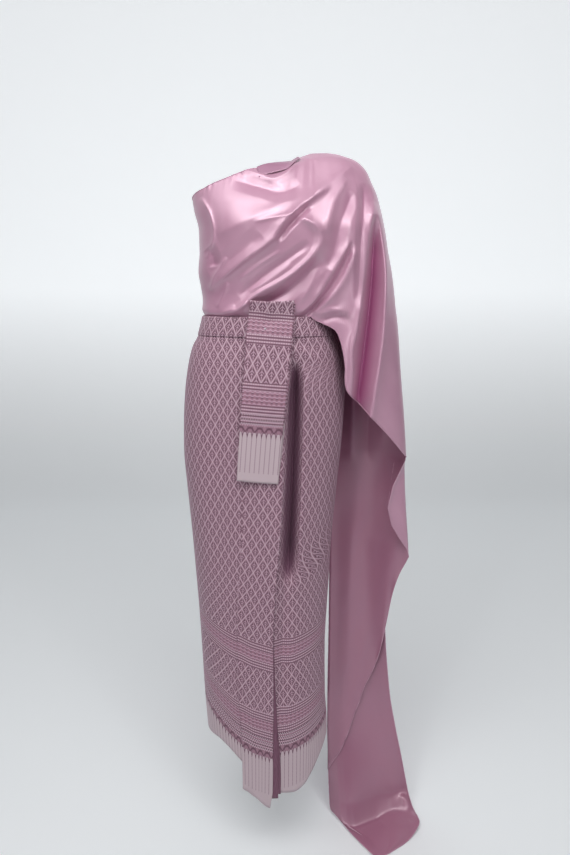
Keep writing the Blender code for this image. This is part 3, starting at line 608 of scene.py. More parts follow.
def lay_colours(tree, code, *layers):
    """Colours laid one over another on a first one, each where its share is 1."""
    colour = to_linear(code)
    for share, over in layers:
        mixed = add(tree, "Mix", share, data_type="RGBA", sockets={6: colour, 7: to_linear(over)})
        colour = mixed.outputs[2]
    return colour


def charmeuse_satin(name, base, shade, roughness):
    """Woven polyester satin: long floats of thread give a bright soft gloss and a faint grain."""
    material, tree = new_material(name)
    place = add(tree, "UVMap", uv_map="cloth")
    stretch = add(tree, "Mapping", place, sockets={"Scale": SATIN_GRAIN})
    grain = add(tree, "TexNoise", stretch, sockets={"Scale": 1.0, "Detail": 2.0})
    cloud = add(tree, "TexNoise", place, sockets={"Scale": 9.0, "Detail": 3.0})
    share = add(tree, "MapRange", cloud, 0.35, 0.65, 0.0, 0.30)
    # Painted shade and painted reflection: in a trough the colour is laid deeper by its depth, for the shade
    # there and the other flank mirrored in it
    deep = add(tree, "Attribute", attribute_name="fold_depth").outputs["Fac"]
    sockets = {
        "Base Color": lay_colours(tree, base, (share, shade), (deep, PAINTED_FOLD_SHADE)),
        "Roughness": add(tree, "MapRange", grain, 0.3, 0.7, roughness - 0.03, roughness + 0.04),
        "Normal": add(tree, "Bump", sockets={"Strength": 0.06, "Distance": THREAD_RELIEF, "Height": grain}),
        "Tangent": add(tree, "Tangent", direction_type="UV_MAP", uv_map="cloth"),
        "Metallic": 0.15,
        "Anisotropic": 0.75,
        "IOR": 1.60,
        "Specular IOR Level": 1.0,
        "Coat Weight": 0.35,
        "Coat Roughness": 0.17,
        "Sheen Weight": 0.22,
        "Sheen Roughness": 0.35,
        "Sheen Tint": to_linear("#F3E4EC"),
    }
    return finish_material(material, tree, sockets)


def glowing_backdrop(name, code, roughness):
    """Painted sweep of the stage that glows a little above the floor: painted light, with no lamp behind it.
    """
    material, tree = new_material(name)
    grain = add(tree, "TexNoise", sockets={"Scale": 3.0, "Detail": 2.0})
    height = add(tree, "SeparateXYZ", add(tree, "TexCoord").outputs["Object"]).outputs[2]
    sockets = {
        "Base Color": to_linear(code),
        "Roughness": add(tree, "MapRange", grain, 0.3, 0.7, roughness - 0.04, roughness + 0.04),
        "Emission Color": to_linear(code),
        # Painted light: the sweep glows, none at the floor and more with height
        "Emission Strength": add(tree, "MapRange", height, FLOOR_Z + 0.02, FLOOR_Z + 1.3, 0.0, 0.55),
    }
    return finish_material(material, tree, sockets)


def brocade_reverse(name):
    """Back of the brocade, where the mauve floats lie loose: plum, matt and faintly ribbed."""
    material, tree = new_material(name)
    bundles = add(tree, "Mapping", add(tree, "UVMap", uv_map="cloth"), sockets={"Scale": FLOAT_BUNDLES})
    grain = add(tree, "TexNoise", bundles, sockets={"Scale": 1.0, "Detail": 2.0})
    share = add(tree, "MapRange", grain, 0.35, 0.65, 0.0, 1.0)
    sockets = {
        "Base Color": lay_colours(tree, BROCADE["reverse"], (share, BROCADE["reverse_shade"])),
        "Roughness": add(tree, "MapRange", grain, 0.3, 0.7, 0.60, 0.72),
        "Normal": add(tree, "Bump", sockets={"Strength": 0.25, "Distance": THREAD_RELIEF, "Height": grain}),
        "Sheen Weight": 0.1,
    }
    return finish_material(material, tree, sockets)


def cut_glass_bead(name):
    """Silvered glass bead with small cut faces, so it gives sharp bright glints."""
    material, tree = new_material(name)
    grain = add(tree, "TexNoise", sockets={"Scale": 900.0, "Detail": 1.0})
    sockets = {
        "Base Color": to_linear("#D9CDD6"),
        "Roughness": add(tree, "MapRange", grain, 0.3, 0.7, 0.08, 0.18),
        "Metallic": 0.7,
    }
    return finish_material(material, tree, sockets)


def dyed_brocade(name, bands):
    """Woven polyester brocade: matt mauve ground, silvery floats that draw the pattern in low gloss."""
    material, tree = new_material(name)
    place = add(tree, "UVMap", uv_map="cloth")
    u, v = add(tree, "SeparateXYZ", place).outputs[:2]

    def fold(value, pitch, shift=0.0):
        """Distance from the nearest of lines one pitch apart, in pitches: 0 on a line, 0.5 between."""
        part = ("FRACT", ("MULTIPLY_ADD", value, 1 / pitch, shift + 100.5))
        return ("ABSOLUTE", ("SUBTRACT", part, 0.5))

    def zone(low, high):
        """1 between two heights over the hem."""
        return ("COMPARE", v, (low + high) / 2, (high - low) / 2)

    def either(marks):
        """1 where any of the marks is."""
        return reduce(lambda one, other: ("MAXIMUM", one, other), marks)

    def drawn(distance, half, soft=0.03):
        """1 within half a line's width of its middle, with soft edges."""
        return add(tree, "MapRange", distance, half - soft, half + soft, 1.0, 0.0)

    # Lattice of diamonds with a bud in each
    across, up = (("MULTIPLY", way, 1 / pitch) for way, pitch in zip((u, v), bands["lattice"]))
    a = add(tree, ("FRACT", ("ADD", ("ADD", across, up), 100.0)))
    b = add(tree, ("FRACT", ("ADD", ("SUBTRACT", across, up), 100.0)))
    edge = either(("ABSOLUTE", ("SUBTRACT", way, 0.5)) for way in (a, b))
    lattice = add(tree, ("SUBTRACT", 1.0, drawn(edge, 0.466, 0.024)))
    side = add(tree, ("ABSOLUTE", ("SUBTRACT", ("ADD", a, b), 1.0)))
    rise = add(tree, ("SUBTRACT", a, b))
    rhomb = add(tree, ("MULTIPLY_ADD", side, 1.05, ("ABSOLUTE", rise)))
    shade = drawn(rhomb, 0.74, 0.05)
    tiers = fold(("MULTIPLY_ADD", side, 0.60, rise), 0.33, 0.15)
    light = ("MULTIPLY", drawn(tiers, 0.17, 0.05), drawn(rhomb, 0.56, 0.04))
    stem = ("MULTIPLY", drawn(side, 0.05), drawn(rhomb, 0.80, 0.04))

    # Stripes, dotted zigzags, scrolls and spear heads of the borders
    stripe = add(tree, fold(v, STRIPE_PITCH))
    white_stripe = drawn(stripe, 0.15)
    dark_stripe = ("SUBTRACT", 1.0, drawn(stripe, 0.36))
    dash = drawn(fold(u, DASH_PITCH), 0.34, 0.06)
    wave = ("ADD", v, ("MULTIPLY", fold(u, ZIGZAG_PITCH), ZIGZAG_RISE))
    zigzag = drawn(fold(wave, ROW_PITCH), 0.12, 0.04)
    row = drawn(fold(v, ROW_PITCH, 0.5), 0.24, 0.06)
    dot = ("MULTIPLY", drawn(fold(u, ZIGZAG_PITCH, 0.5), 0.20, 0.05), row)
    curl = add(tree, ("MULTIPLY", ("SINE", ("MULTIPLY", u, 2 * math.pi / SCROLL_PITCH)), SCROLL_RISE))
    scroll = either(drawn(fold((way, v, curl), SCROLL_ROW), 0.08, 0.04) for way in ("ADD", "SUBTRACT"))
    tip, root = bands["spear"]
    along = add(tree, "MapRange", v, tip, root, 0.0, 1.0)
    spine = add(tree, fold(u, SPEAR_PITCH))
    head = ("MULTIPLY", ("MINIMUM", along, 0.46), 0.46)
    neck = ("MULTIPLY", ("GREATER_THAN", along, 0.46), 0.20)
    blade = ("LESS_THAN", spine, ("SUBTRACT", ("ADD", head, 0.05), neck))
    wide = add(tree, fold(u, 2 * SPEAR_PITCH, 0.25))
    bow = ("SUBTRACT", ("MULTIPLY_ADD", ("MULTIPLY", wide, wide), 1.7, along), 0.86)
    arch = ("MULTIPLY", drawn(("ABSOLUTE", bow), 0.10), ("GREATER_THAN", along, 0.45))
    eye = ("MULTIPLY", drawn(spine, 0.07), drawn(("ABSOLUTE", ("SUBTRACT", along, 0.40)), 0.08))
    pin = ("MULTIPLY", drawn(spine, 0.085, 0.04), drawn(fold(v, PIN_PITCH), 0.33, 0.1))

    stripes, dots = (add(tree, either(zone(*band) for band in bands[key])) for key in ("stripes", "dots"))
    scrolls, spears, pins = (add(tree, zone(*bands[key])) for key in ("scroll", "spear", "pins"))
    pale = add(tree, ("LESS_THAN", v, tip))
    field = add(tree, ("SUBTRACT", 1.0, either([stripes, dots, scrolls, spears, pale])))
    hem = either([pale, ("MULTIPLY", spears, ("LESS_THAN", along, 0.42))])
    marks = [
        (field, shade, "bud"),
        (field, light, "pale_thread"),
        (field, stem, "pale_thread"),
        (field, lattice, "thread"),
        (stripes, dark_stripe, "bud"),
        (stripes, ("MULTIPLY", white_stripe, dash), "thread"),
        (dots, 1.0, "warm"),
        (dots, dot, "bud"),
        (dots, zigzag, "pale_thread"),
        (scrolls, 1.0, "warm"),
        (scrolls, drawn(fold(v, ROW_PITCH), 0.30, 0.05), "bud"),
        (scrolls, scroll, "thread"),
        (hem, 1.0, "hem"),
        (spears, either([blade, arch]), "bud"),
        (spears, eye, "pale_thread"),
        (pins, pin, "pin"),
    ]
    cloud = add(tree, "TexNoise", place, sockets={"Scale": 22.0, "Detail": 2.0})
    # Painted shade: in the deep fold beside the tab the colour goes to a dark plum by how deep the trough is,
    # hiding the pattern
    deep = add(tree, "Attribute", attribute_name="fold_depth").outputs["Fac"]
    colour = lay_colours(
        tree,
        BROCADE["ground"],
        (add(tree, "MapRange", cloud, 0.3, 0.7, 0.0, 0.5), BROCADE["warm"]),
        *((("MULTIPLY", where, mark), BROCADE[key]) for where, mark, key in marks),
        (add(tree, "MapRange", deep, 0.25, 0.75, 0.0, 0.85), BROCADE["painted_valley_shade"]),
    )
    weave = add(tree, "Mapping", place, sockets={"Scale": WEAVE_RIBS})
    ribs = add(tree, "TexNoise", weave, sockets={"Scale": 1.0, "Detail": 1.0})
    floats = add(tree, either([("MULTIPLY", field, lattice), ("MULTIPLY", stripes, white_stripe)]))
    height = ("MULTIPLY_ADD", floats, 0.7, ribs)
    sockets = {
        "Base Color": colour,
        "Roughness": add(tree, "MapRange", floats, 0.0, 1.0, 0.62, 0.42),
        "Normal": add(tree, "Bump", sockets={"Strength": 0.35, "Distance": THREAD_RELIEF, "Height": height}),
        "IOR": 1.5,
        "Sheen Weight": 0.15,
        "Sheen Roughness": 0.5,
        "Sheen Tint": to_linear("#E8D0E0"),
    }
    return finish_material(material, tree, sockets)


FINISHES = {}


def finish(key):
    """The material of a finish, made when it is first asked for."""
    if key not in FINISHES:
        look = bpy.context.scene.dress_look
        make, *settings = {
            "satin": (charmeuse_satin, "charmeuse_satin", look.satin, look.satin_shade, 0.38),
            "satin_reverse": (charmeuse_satin, "satin_inner_layer", look.satin_inner, look.satin_shade, 0.48),
            "satin_back": (charmeuse_satin, "satin_back_face", look.satin_back, look.satin_inner, 0.46),
            "satin_hem": (charmeuse_satin, "satin_rolled_hem", look.satin, look.satin_shade, 0.40),
            "brocade": (dyed_brocade, "dyed_brocade", SKIRT_BANDS),
            "brocade_tab": (dyed_brocade, "dyed_brocade_tab", TAB_BANDS),
            "brocade_reverse": (brocade_reverse, "brocade_reverse"),
            "bead": (cut_glass_bead, "cut_glass_bead"),
        }[key]
        FINISHES[key] = make(*settings)
    return FINISHES[key]


def place_on_frame(piece, slot, *nodes):
    """Seats a piece: it rides on the dress's only body and stands for its solids."""
    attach(piece, "root")
    if nodes:
        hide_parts(*nodes)


class DressLook(bpy.types.PropertyGroup):
    satin: StringProperty(name="Satin", description="Satin's colour, sRGB hex", default="#C493AB")
    satin_shade: StringProperty(name="Satin shade", description="Deeper colour, sRGB hex", default="#AC7592")
    # The back face's colour is darker than the satin's: partly the duller weave of that side, partly painted
    # shade, as the tail and the inside of the cape show it
    satin_back: StringProperty(name="Satin back face", description="Duller side, sRGB hex", default="#A56A84")
    # The inner layer's colour is darker than the satin's: partly its matt side, partly painted shade behind
    # the cowl
    satin_inner: StringProperty(name="Inner satin", description="Inner layer, sRGB hex", default="#A06F8A")


class DressSize(bpy.types.PropertyGroup):
    satin_thickness: FloatProperty(
        name="Satin thickness", description="Wall of satin", default=0.0008, unit="LENGTH", precision=4
    )
    brocade_thickness: FloatProperty(
        name="Brocade thickness", description="Wall of brocade", default=0.0012, unit="LENGTH", precision=4
    )
    camera_height: FloatProperty(
        name="Camera height", description="Camera over the waistband's top", default=0.040, unit="LENGTH"
    )
    camera_distance: FloatProperty(
        name="Camera distance", description="Camera to the middle of the dress", default=1.270, unit="LENGTH"
    )
    camera_lens: FloatProperty(
        name="Camera lens", description="Focal length at 36 mm height", default=612 / 855 * 36, unit="CAMERA"
    )
    camera_tilt: FloatProperty(
        name="Camera tilt", description="How far it looks down", default=math.radians(12.1), subtype="ANGLE"
    )


class DRESS_OT_stage(bpy.types.Operator):
    """Pale floor and backdrop, soft lights and the camera"""

    bl_idname = "dress.stage"
    bl_label = "Stage"

    def execute(self, context):
        size = context.scene.dress_size
        camera = bpy.data.cameras.new("camera")
        camera.sensor_fit = "VERTICAL"
        camera.sensor_height = 36.0
        camera.lens = size.camera_lens
        camera.clip_start = 0.01
        eye = bpy.data.objects.new("camera", camera)
        eye.location = (CAMERA_X, -size.camera_distance, size.camera_height)
        eye.rotation_euler = (math.pi / 2 - size.camera_tilt, 0, 0)
        context.scene.collection.objects.link(eye)
        context.scene.camera = eye

        turns = [math.pi / 2 * k / 16 for k in range(17)]
        bow = [(WALL_Y - SWEEP * (1 - math.sin(t)), FLOOR_Z + SWEEP * (1 - math.cos(t))) for t in turns]
        profile = [(-STAGE, FLOOR_Z), (-1.5, FLOOR_Z), *bow, (WALL_Y, 5.0)]
        verts = [(x, y, z) for y, z in profile for x in (-STAGE, STAGE)]
        faces = [(2 * k, 2 * k + 1, 2 * k + 3, 2 * k + 2) for k in range(len(profile) - 1)]
        mesh = bpy.data.meshes.new("backdrop")
        mesh.from_pydata(verts, [], faces)
        mesh.shade_smooth()
        link_piece("backdrop", mesh, glowing_backdrop("matt_backdrop", "#F0F3F5", 0.8))

        world = bpy.data.worlds.new("soft_room")
        world.use_nodes = True
        tree = world.node_tree
        up = add(tree, "SeparateXYZ", add(tree, "TexCoord").outputs["Generated"]).outputs[2]
        share = add(tree, "MapRange", up, -0.1, 0.9, 0.0, 1.0)
        room = tree.nodes["Background"]
        tree.links.new(lay_colours(tree, "#77757D", (share, "#FFFFFF")), room.inputs["Color"])
        room.inputs["Strength"].default_value = 0.40
        context.scene.world = world
        context.scene.view_settings.view_transform = "Standard"
        for name, where, to, size_x, size_y, power in [
            ("ceiling_light", (-0.1, -1.05, 1.40), (0.05, 0.0, 0.15), 2.4, 1.3, 29.0),
            ("tube_light", (-0.1, -1.25, 1.55), (0.05, 0.0, 0.15), 1.8, 0.1, 6.0),
            ("window_light", (-0.85, -1.9, 0.6), (0.0, 0.0, 0.1), 0.18, 1.8, 6.0),
            ("fill_light", (1.1, -1.7, 0.6), (0.1, 0.0, 0.1), 0.15, 1.8, 4.0),
        ]:
            light = bpy.data.lights.new(name, "AREA")
            light.shape = "RECTANGLE"
            light.size, light.size_y, light.energy = size_x, size_y, power
            lamp = bpy.data.objects.new(name, light)
            lamp.location = where
            lamp.visible_camera = False
            lamp.rotation_euler = (Vector(to) - Vector(where)).to_track_quat("-Z", "Y").to_euler()
            context.scene.collection.objects.link(lamp)
        return {"FINISHED"}


def top_edge(edges, columns, split, back=False):
    """Upper edge of the front or back: the neckline, then the shoulder's ridge up to a phi."""
    neck = [top_place(e.x, e.z, back) for e in edges]
    neck[-1] = (neck[-1][0], 0.0)
    ridge = resample([neck[-1], (split, 0.0)], RIDGE_COLUMNS + 1)[1:]
    upper = np.concatenate([resample(neck, columns - RIDGE_COLUMNS), ridge])
    upper[0, 0] = math.pi
    upper[-RIDGE_COLUMNS:, 1] = 0.0
    return upper


def between(upper, lower, steps):
    """Places on straight lines from an upper edge to a lower one."""
    return upper[None] + (lower - upper)[None] * steps[:, None, None]


def pucker(points):
    """Gathers the satin in small puckers along the front neckline."""
    run = np.concatenate([[0], np.cumsum(np.linalg.norm(np.diff(points[0], axis=0), axis=-1))])[None]
    below = np.linalg.norm(points - points[:1], axis=-1)
    # Two wavelengths that fall in and out of step, stronger and weaker along the edge
    wave = np.sin(run * 2 * math.pi / 0.0125) + 0.7 * np.sin(run * 2 * math.pi / 0.0187 + 1.0)
    wave = wave * (0.55 + 0.45 * np.sin(run * 2 * math.pi / 0.061))
    fade = np.exp(-below / 0.009) * np.clip(np.minimum(run, run[0, -1] - run) / 0.02, 0, 1)
    points[..., 1] -= 0.0008 * wave * fade


def satin_grids(neck_columns, cape_columns, back_columns, fall_columns, rows):
    """Grids of the front with the cape, and of the back down to the flap's hem."""
    split = math.acos(CAPE_FROM_X / SHOULDER[-1].x)
    upper = top_edge(NECK_FRONT, neck_columns, split)
    low = top_place(CAPE_HEM[0].x, CAPE_HEM[0].z)
    tuck_q = math.sqrt(SHOULDER_TOP_Z + TUCK)
    lower = resample([(math.pi, tuck_q), (low[0] + 0.10, tuck_q), low], len(upper))
    cape_top = resample([(split, 0.0), (0.0, 0.0)], cape_columns)
    hem = resample([top_place(*place) for place in smooth_line(CAPE_HEM, 60)], cape_columns)
    hem[-1, 0] = 0.0
    seam_q = hem[-1, 1]
    steps = np.linspace(0, 1, rows) ** 0.92
    front = between(np.concatenate([upper, cape_top[1:]]), np.concatenate([lower, hem[1:]]), steps)

    upper = top_edge(NECK_BACK, back_columns, split, True)
    inner_mid = top_place(*CAPE_LEAVES, True)[0]
    inner_low = top_place(FLAP_HEM[0].x, FLAP_TOP_Z, True)[0]
    waist_q = math.sqrt(SHOULDER_TOP_Z - CAPE_LEAVES[1])
    lower = resample([(math.pi, -tuck_q), (inner_mid + 0.10, -tuck_q), (inner_mid, -waist_q)], len(upper))
    back_steps = np.append(steps[steps * seam_q <= waist_q] * seam_q / waist_q, 1.0)
    back = between(upper, lower, back_steps)

    q = np.append(back_steps * waist_q, np.linspace(waist_q, seam_q, 26)[1:])
    limit = np.interp(q, [0, waist_q, seam_q], [split, inner_mid, inner_low])
    phi = limit[:, None] * np.linspace(1, 0, fall_columns)
    fall = np.stack([phi, np.repeat(-q[:, None], fall_columns, axis=1)], axis=-1)

    front_points = satin_point(front[..., 0], front[..., 1])
    pucker(front_points[:, : neck_columns - RIDGE_COLUMNS])
    back_points, fall_points = (satin_point(g[..., 0], np.minimum(g[..., 1], -1e-9)) for g in (back, fall))
    return front_points, back_points, fall_points, flap_grid(fall_points[-1], 110)


def flap_grid(seam, rows):
    """Grid of the lower front layer of the tail, which goes on from the back of the cape."""
    left, right = FLAP_HEM[0].x, FLAP_HEM[-1].x
    share = (seam[:, 0] - seam[0, 0]) / (seam[-1, 0] - seam[0, 0])
    low_z = read(FLAP_HEM, "x", "z", left + (right - left) * share)[None]
    z = FLAP_TOP_Z + (low_z - FLAP_TOP_Z) * np.linspace(0, 1, rows)[:, None]
    outer = np.interp(-z, [0.30, 0.42, 0.5255, 0.62], [seam[-1, 0], 0.3040, right, right])
    x = seam[0, 0] + (outer - seam[0, 0]) * share
    row = tail_row(z)
    behind = tail_point((x - row.left) / (row.right - row.left), row)[1]
    back = satin_point(*top_place(np.minimum(x, right - 0.0001), np.maximum(z, -0.53), True))[..., 1]
    hung = blend(-z, 0.30, 0.50)
    clear = 0.0040 + 0.010 * np.minimum(1.0, (x - 0.1432) / 0.05)
    y = np.minimum(back * (1 - hung) + (behind - clear) * hung, behind - 0.0036)
    # The outer border folds forward and inwards under the cape's corner
    drops = [0.305, 0.36, 0.405, 0.445, 0.474, 0.509, 0.5255]
    fold = np.interp(-z, drops, [0.0, 0.70, 1.0, 0.84, 0.51, 0.06, 0.0])
    edge = 1 - 0.20 * fold
    over = np.clip((share - edge) / np.maximum(1 - edge, 1e-6), 0, 1)
    x = seam[0, 0] + (outer - seam[0, 0]) * np.minimum(share / edge, 1) - 0.045 * fold * over**1.6
    y = y - 0.020 * fold * blend(share, edge - 0.42, edge + 0.06)
    ruffle = 0.0016 * np.sin(share * 46) * np.exp(-(z - low_z) / 0.020) * (1 - blend(share, 0.85, 1.0))
    grid = np.stack([x, y - ruffle, z], axis=-1)
    grid[0] = seam
    return grid


def rolled_hem(name, lines):
    """Thin rolled and stitched hem along the free edges of the satin."""
    bm = bmesh.new()
    sides = 6
    for line in lines:
        keep = np.concatenate([[True], np.linalg.norm(np.diff(line, axis=0), axis=-1) > 0.0004])
        path = line[keep]
        run = np.gradient(path, axis=0)
        run /= np.linalg.norm(run, axis=-1, keepdims=True)
        side = np.cross(run, np.array([0.3, 1.0, 0.2]))
        side /= np.linalg.norm(side, axis=-1, keepdims=True)
        up = np.cross(side, run)
        rings = []
        for k in range(len(path)):
            radius = HEM_RADIUS * (1.0 + 0.18 * math.sin(k * 2.1))
            turns = [2 * math.pi * n / sides for n in range(sides)]
            around = [math.cos(turn) * side[k] + math.sin(turn) * up[k] for turn in turns]
            rings.append([bm.verts.new(path[k] + radius * way) for way in around])
        for one, other in zip(rings, rings[1:]):
            for n in range(sides):
                bm.faces.new((one[n], one[(n + 1) % sides], other[(n + 1) % sides], other[n]))
        bm.faces.new(rings[0][::-1])
        bm.faces.new(rings[-1])
    bmesh.ops.recalc_face_normals(bm, faces=bm.faces)
    mesh = bpy.data.meshes.new(name)
    bm.to_mesh(mesh)
    bm.free()
    mesh.uv_layers.new(name="cloth")
    mesh.shade_smooth()
    piece = link_piece(name, mesh, finish("satin_hem"))
    place_on_frame(piece, "satin")
    return piece


class DRESS_OT_satin_top(bpy.types.Operator):
    """Draped one-shoulder top with its cape, front and back"""

    bl_idname = "dress.satin_top"
    bl_label = "Satin top"

    def execute(self, context):
        neck, back_neck = 168, 80
        front, back, fall, flap = satin_grids(neck, 96, back_neck, 60, 180)
        thickness = context.scene.dress_size.satin_thickness
        for name, grids, folds, nodes, lines, flat, area in [
            (
                "satin_top_front",
                [front],
                FRONT_CREASES,
                ("top_front", "cape_front"),
                [front[0, : neck - RIDGE_COLUMNS + 1], front[-1, neck:]],
                (0.66, 0.62),
                0.22,
            ),
            (
                "satin_top_back",
                [back[:, ::-1], fall[:, ::-1], flap[:, ::-1]],
                BACK_CREASES,
                ("top_back", "cape_back", "tail_flap"),
                [back[0, : back_neck - RIDGE_COLUMNS + 1], flap[-1], flap[8:, -1]],
                (0.50, 1.20),
                0.32,
            ),
        ]:
            # How deep each place lies in a trough, for the painted shade of the folds
            shade_depths = [fold_depth(grid, folds) for grid in grids]
            # The inner face takes the back face's darker colour, partly painted shade inside the cape
            piece = cloth(name, grids, finish("satin"), thickness, inner=finish("satin_back"), shade_depths=shade_depths)
            bm = bmesh.new()
            bm.from_mesh(piece.data)
            bmesh.ops.recalc_face_normals(bm, faces=bm.faces)
            bm.to_mesh(piece.data)
            bm.free()
            place_on_frame(piece, "satin", *nodes)
            hem = rolled_hem(name + "_hem", lines)
        return {"FINISHED"}


def tail_point(u, row):
    """Point of the hanging tail: u runs from its inner fold to its outer edge."""
    x = row.left + (row.right - row.left) * u
    bow = 0.012 * np.sin(math.pi * u)
    wave = 0.3 * row.wave * np.sin(2 * math.pi * (1.6 * u + 0.12))
    forward = blend(-row.z, 0.93, 1.21) ** 1.4
    y = row.y_left + (row.y_right - row.y_left) * np.maximum(u, 0) ** 1.6 + bow + wave
    return x, y + np.interp(u, BREAK_AT, BREAK_Y) * forward


def tail_row(z):
    """The tail's strip at a height."""
    return Strip(z, *(read(TAIL, "z", key, z) for key in TAIL[0]._fields[1:]))


class DRESS_OT_satin_tail(bpy.types.Operator):
    """Tail that hangs from the cape's back, with its end on the floor"""

    bl_idname = "dress.satin_tail"
    bl_label = "Satin tail"

    def execute(self, context):
        thickness = context.scene.dress_size.satin_thickness
        columns = 60
        u = np.linspace(0, 1, columns)
        rows = []
        for z in np.linspace(TAIL[0].z, TAIL[-1].z, 150):
            x, y = tail_point(u, tail_row(z))
            above = satin_point(*top_place(x, np.full(columns, z), True))[:, 1] + 0.0010
            y = above + (y - above) * float(blend(-z, 0.31, 0.43))
            rows.append(np.stack([x, y, np.full(columns, z)], axis=-1))
        hang = np.array(rows)
        rows = []
        for n, row in enumerate(TAIL_ON_FLOOR):
            x = row.left_x + (row.right_x - row.left_x) * u
            y = row.left_y + (row.right_y - row.left_y) * u
            if n < 4:
                y = np.minimum(y, 0.030 + np.interp(u, BREAK_AT, BREAK_Y) - 0.011 * n)
            ripple = (0.006 if n < 3 else 0.002) * np.sin(2 * math.pi * (1.6 * u + 0.12)) * (n < 5)
            hump = 0.026 * np.exp(-(((u - 0.91) / 0.12) ** 2)) * max(0.0, 1 - 0.4 * n)
            curl = 0.010 * u**6 * (n in (2, 3))
            z = FLOOR_Z + 0.0018 + row.lift + np.maximum(ripple, 0) + hump + curl
            rows.append(np.stack([x, y, z], axis=-1))
        path = np.concatenate([hang[-8::7], np.array(rows)])
        lying = np.stack([smooth_line(path[:, c], 50) for c in range(columns)], axis=1)
        lying = lying[np.argmax(lying[:, 0, 2] < hang[-1, 0, 2]) :]
        lying[..., 2] = np.maximum(lying[..., 2], FLOOR_Z + 0.0012)
        grid = np.concatenate([hang, lying])
        # The tail shows the back face, whose darker colour is partly painted shade
        tail = cloth("satin_tail", [grid[:, ::-1]], finish("satin_back"), thickness, inner=finish("satin"))
        place_on_frame(tail, "satin", "tail")
        hem = rolled_hem("satin_tail_hem", [grid[:, 0], grid[:, -1], grid[-1]])
        return {"FINISHED"}


class DRESS_OT_neck_layer(bpy.types.Operator):
    """Inner layer behind the cowl of the neckline"""

    bl_idname = "dress.neck_layer"
    bl_label = "Neck layer"

    def execute(self, context):
        thickness = context.scene.dress_size.satin_thickness
        edge = smooth_line(NECK_LAYER, 60)
        # The strip narrows towards the shoulder
        drop = np.linspace(0, NECK_STRIP, 14)[:, None] * (1 - 0.60 * blend(edge[:, 0], 0.035, 0.064))
        phi, q = top_place(edge[:, 0] + drop * 0.25, edge[:, 1] - drop)
        q = np.maximum(q, 0.03)
        across = top_point(phi + 0.01, q) - top_point(phi - 0.01, q)
        down = top_point(phi, q + 0.01) - top_point(phi, q - 0.01)
        normal = np.cross(down, across)
        grid = top_point(phi, q) - normal / np.linalg.norm(normal, axis=-1, keepdims=True) * NECK_INSIDE
        # Its darker colour is partly painted shade behind the cowl
        piece = cloth("satin_neck_layer", [grid[:, ::-1]], finish("satin_reverse"), thickness)
        place_on_frame(piece, "satin_reverse", "neck_layer")
        return {"FINISHED"}


def panel_grid(columns, rows, limits, hem, out=0.0, top_z=None):
    """Grid of a skirt panel between two phi limits, down to a hem."""
    top = BAND_LAP - BAND_HEIGHT if top_z is None else top_z
    share, t = np.meshgrid(np.linspace(0, 1, columns), np.linspace(0, 1, rows))
    # The hem's height hangs on x, and x on the height, so a few rounds from a guess settle both
    z = top + (-0.98 - top) * t
    for _ in range(5):
        low, high = limits(z)
        phi = low + (high - low) * share
        z = top + (hem(skirt_point(phi, z, 0.0, None)[..., 0]) - top) * t
    return skirt_point(phi, z, out(share, z) if callable(out) else out)


def brocade_place(grid, tilt, lift, shrink):
    """Places of the skirt's points in the flat cloth: run round the skirt, and height over the hem.

    The cloth is cut level and drawn up where the skirt widens, so its borders climb to the sides.
    """
    x, z = grid[..., 0], grid[..., 2]
    u = runs_of(grid)[0]
    u = u - u[:, np.argmin(np.abs(x[0] - 0.01))][:, None]
    side = np.clip((np.abs(x - 0.01) - 0.03) / 0.12, 0, 1) ** 1.5
    rise = z - BORDER_TOP_Z + (tilt * (x + 0.025) - lift * side) * blend(-z, 0.48, 0.62)
    return u, BORDER_TOP + rise * np.where(rise < 0, 1 + shrink * side, 1)


class DRESS_OT_skirt(bpy.types.Operator):
    """Brocade wrap skirt: panels, centre pleat and the layers beside it"""

    bl_idname = "dress.skirt"
    bl_label = "Skirt"

    def execute(self, context):
        thickness = context.scene.dress_size.brocade_thickness

        def hem_of(rows):
            return lambda x: read(rows, "x", "z", x)

        def pleat_limits(z):
            return [skirt_phi(read(PLEAT, "z", side, z), z) for side in ("left", "right")]

        def pleat_out(share, z):
            edge = blend(share, 0.75, 1.0) * blend(-z, 0.20, 0.30) * (1 - blend(-z, 0.42, 0.56))
            return LAYER * (1.0 + 2.1 * blend(share, 0.15, 0.50)) + 0.0002 + 0.0060 * edge

        made = [
            (
                "skirt_right",
                panel_grid(70, 120, lambda z: (math.pi, skirt_phi(UNDER_PLEAT_X, z)), hem_of(RIGHT_HEM)),
                (0.172, 1.062),
            ),
            (
                "skirt_left",
                panel_grid(80, 130, lambda z: (skirt_phi(UNDER_PLEAT_X, z), 0.0), hem_of(LEFT_HEM)),
                (0.215, 1.125),
            ),
            (
                "skirt_back",
                panel_grid(90, 80, lambda z: (2 * math.pi, math.pi), lambda x: BACK_HEM_Z),
                (0.372, 1.032),
            ),
            (
                "skirt_pleat",
                panel_grid(44, 130, pleat_limits, hem_of(PLEAT_HEM), pleat_out),
                (0.094, 0.882),
            ),
        ]
        for name, beyond, top_z, hem_z, level, flat in UNDER_PLEATS:

            def limits(z, beyond=beyond, top_z=top_z):
                edge = read(PLEAT, "z", "right", np.maximum(z, -1.018))
                share = 1 - blend(z, -1.0, top_z + 0.02)
                return skirt_phi(edge - 0.024, z), skirt_phi(edge + 0.0012 + (beyond - 0.0012) * share, z)

            grid = panel_grid(16, 60, limits, lambda x, low=hem_z: low, LAYER * level + 0.0001, top_z)
            made.append((name, grid, flat))
        for name, grid, flat in made:
            place = [brocade_place(grid, *BORDER_CLIMB.get(name, (0.0, 0.0, 0.0)))]
            key = "brocade_reverse" if "under" in name else "brocade"
            # Only the left panel has the deep fold beside the tab, with its painted shade
            shade_depths = [fold_depth(grid, SKIRT_CREASES)] if name == "skirt_left" else None
            piece = cloth("brocade_" + name, [grid], finish(key), thickness, place, shade_depths=shade_depths)
            place_on_frame(piece, "brocade", name)
        return {"FINISHED"}


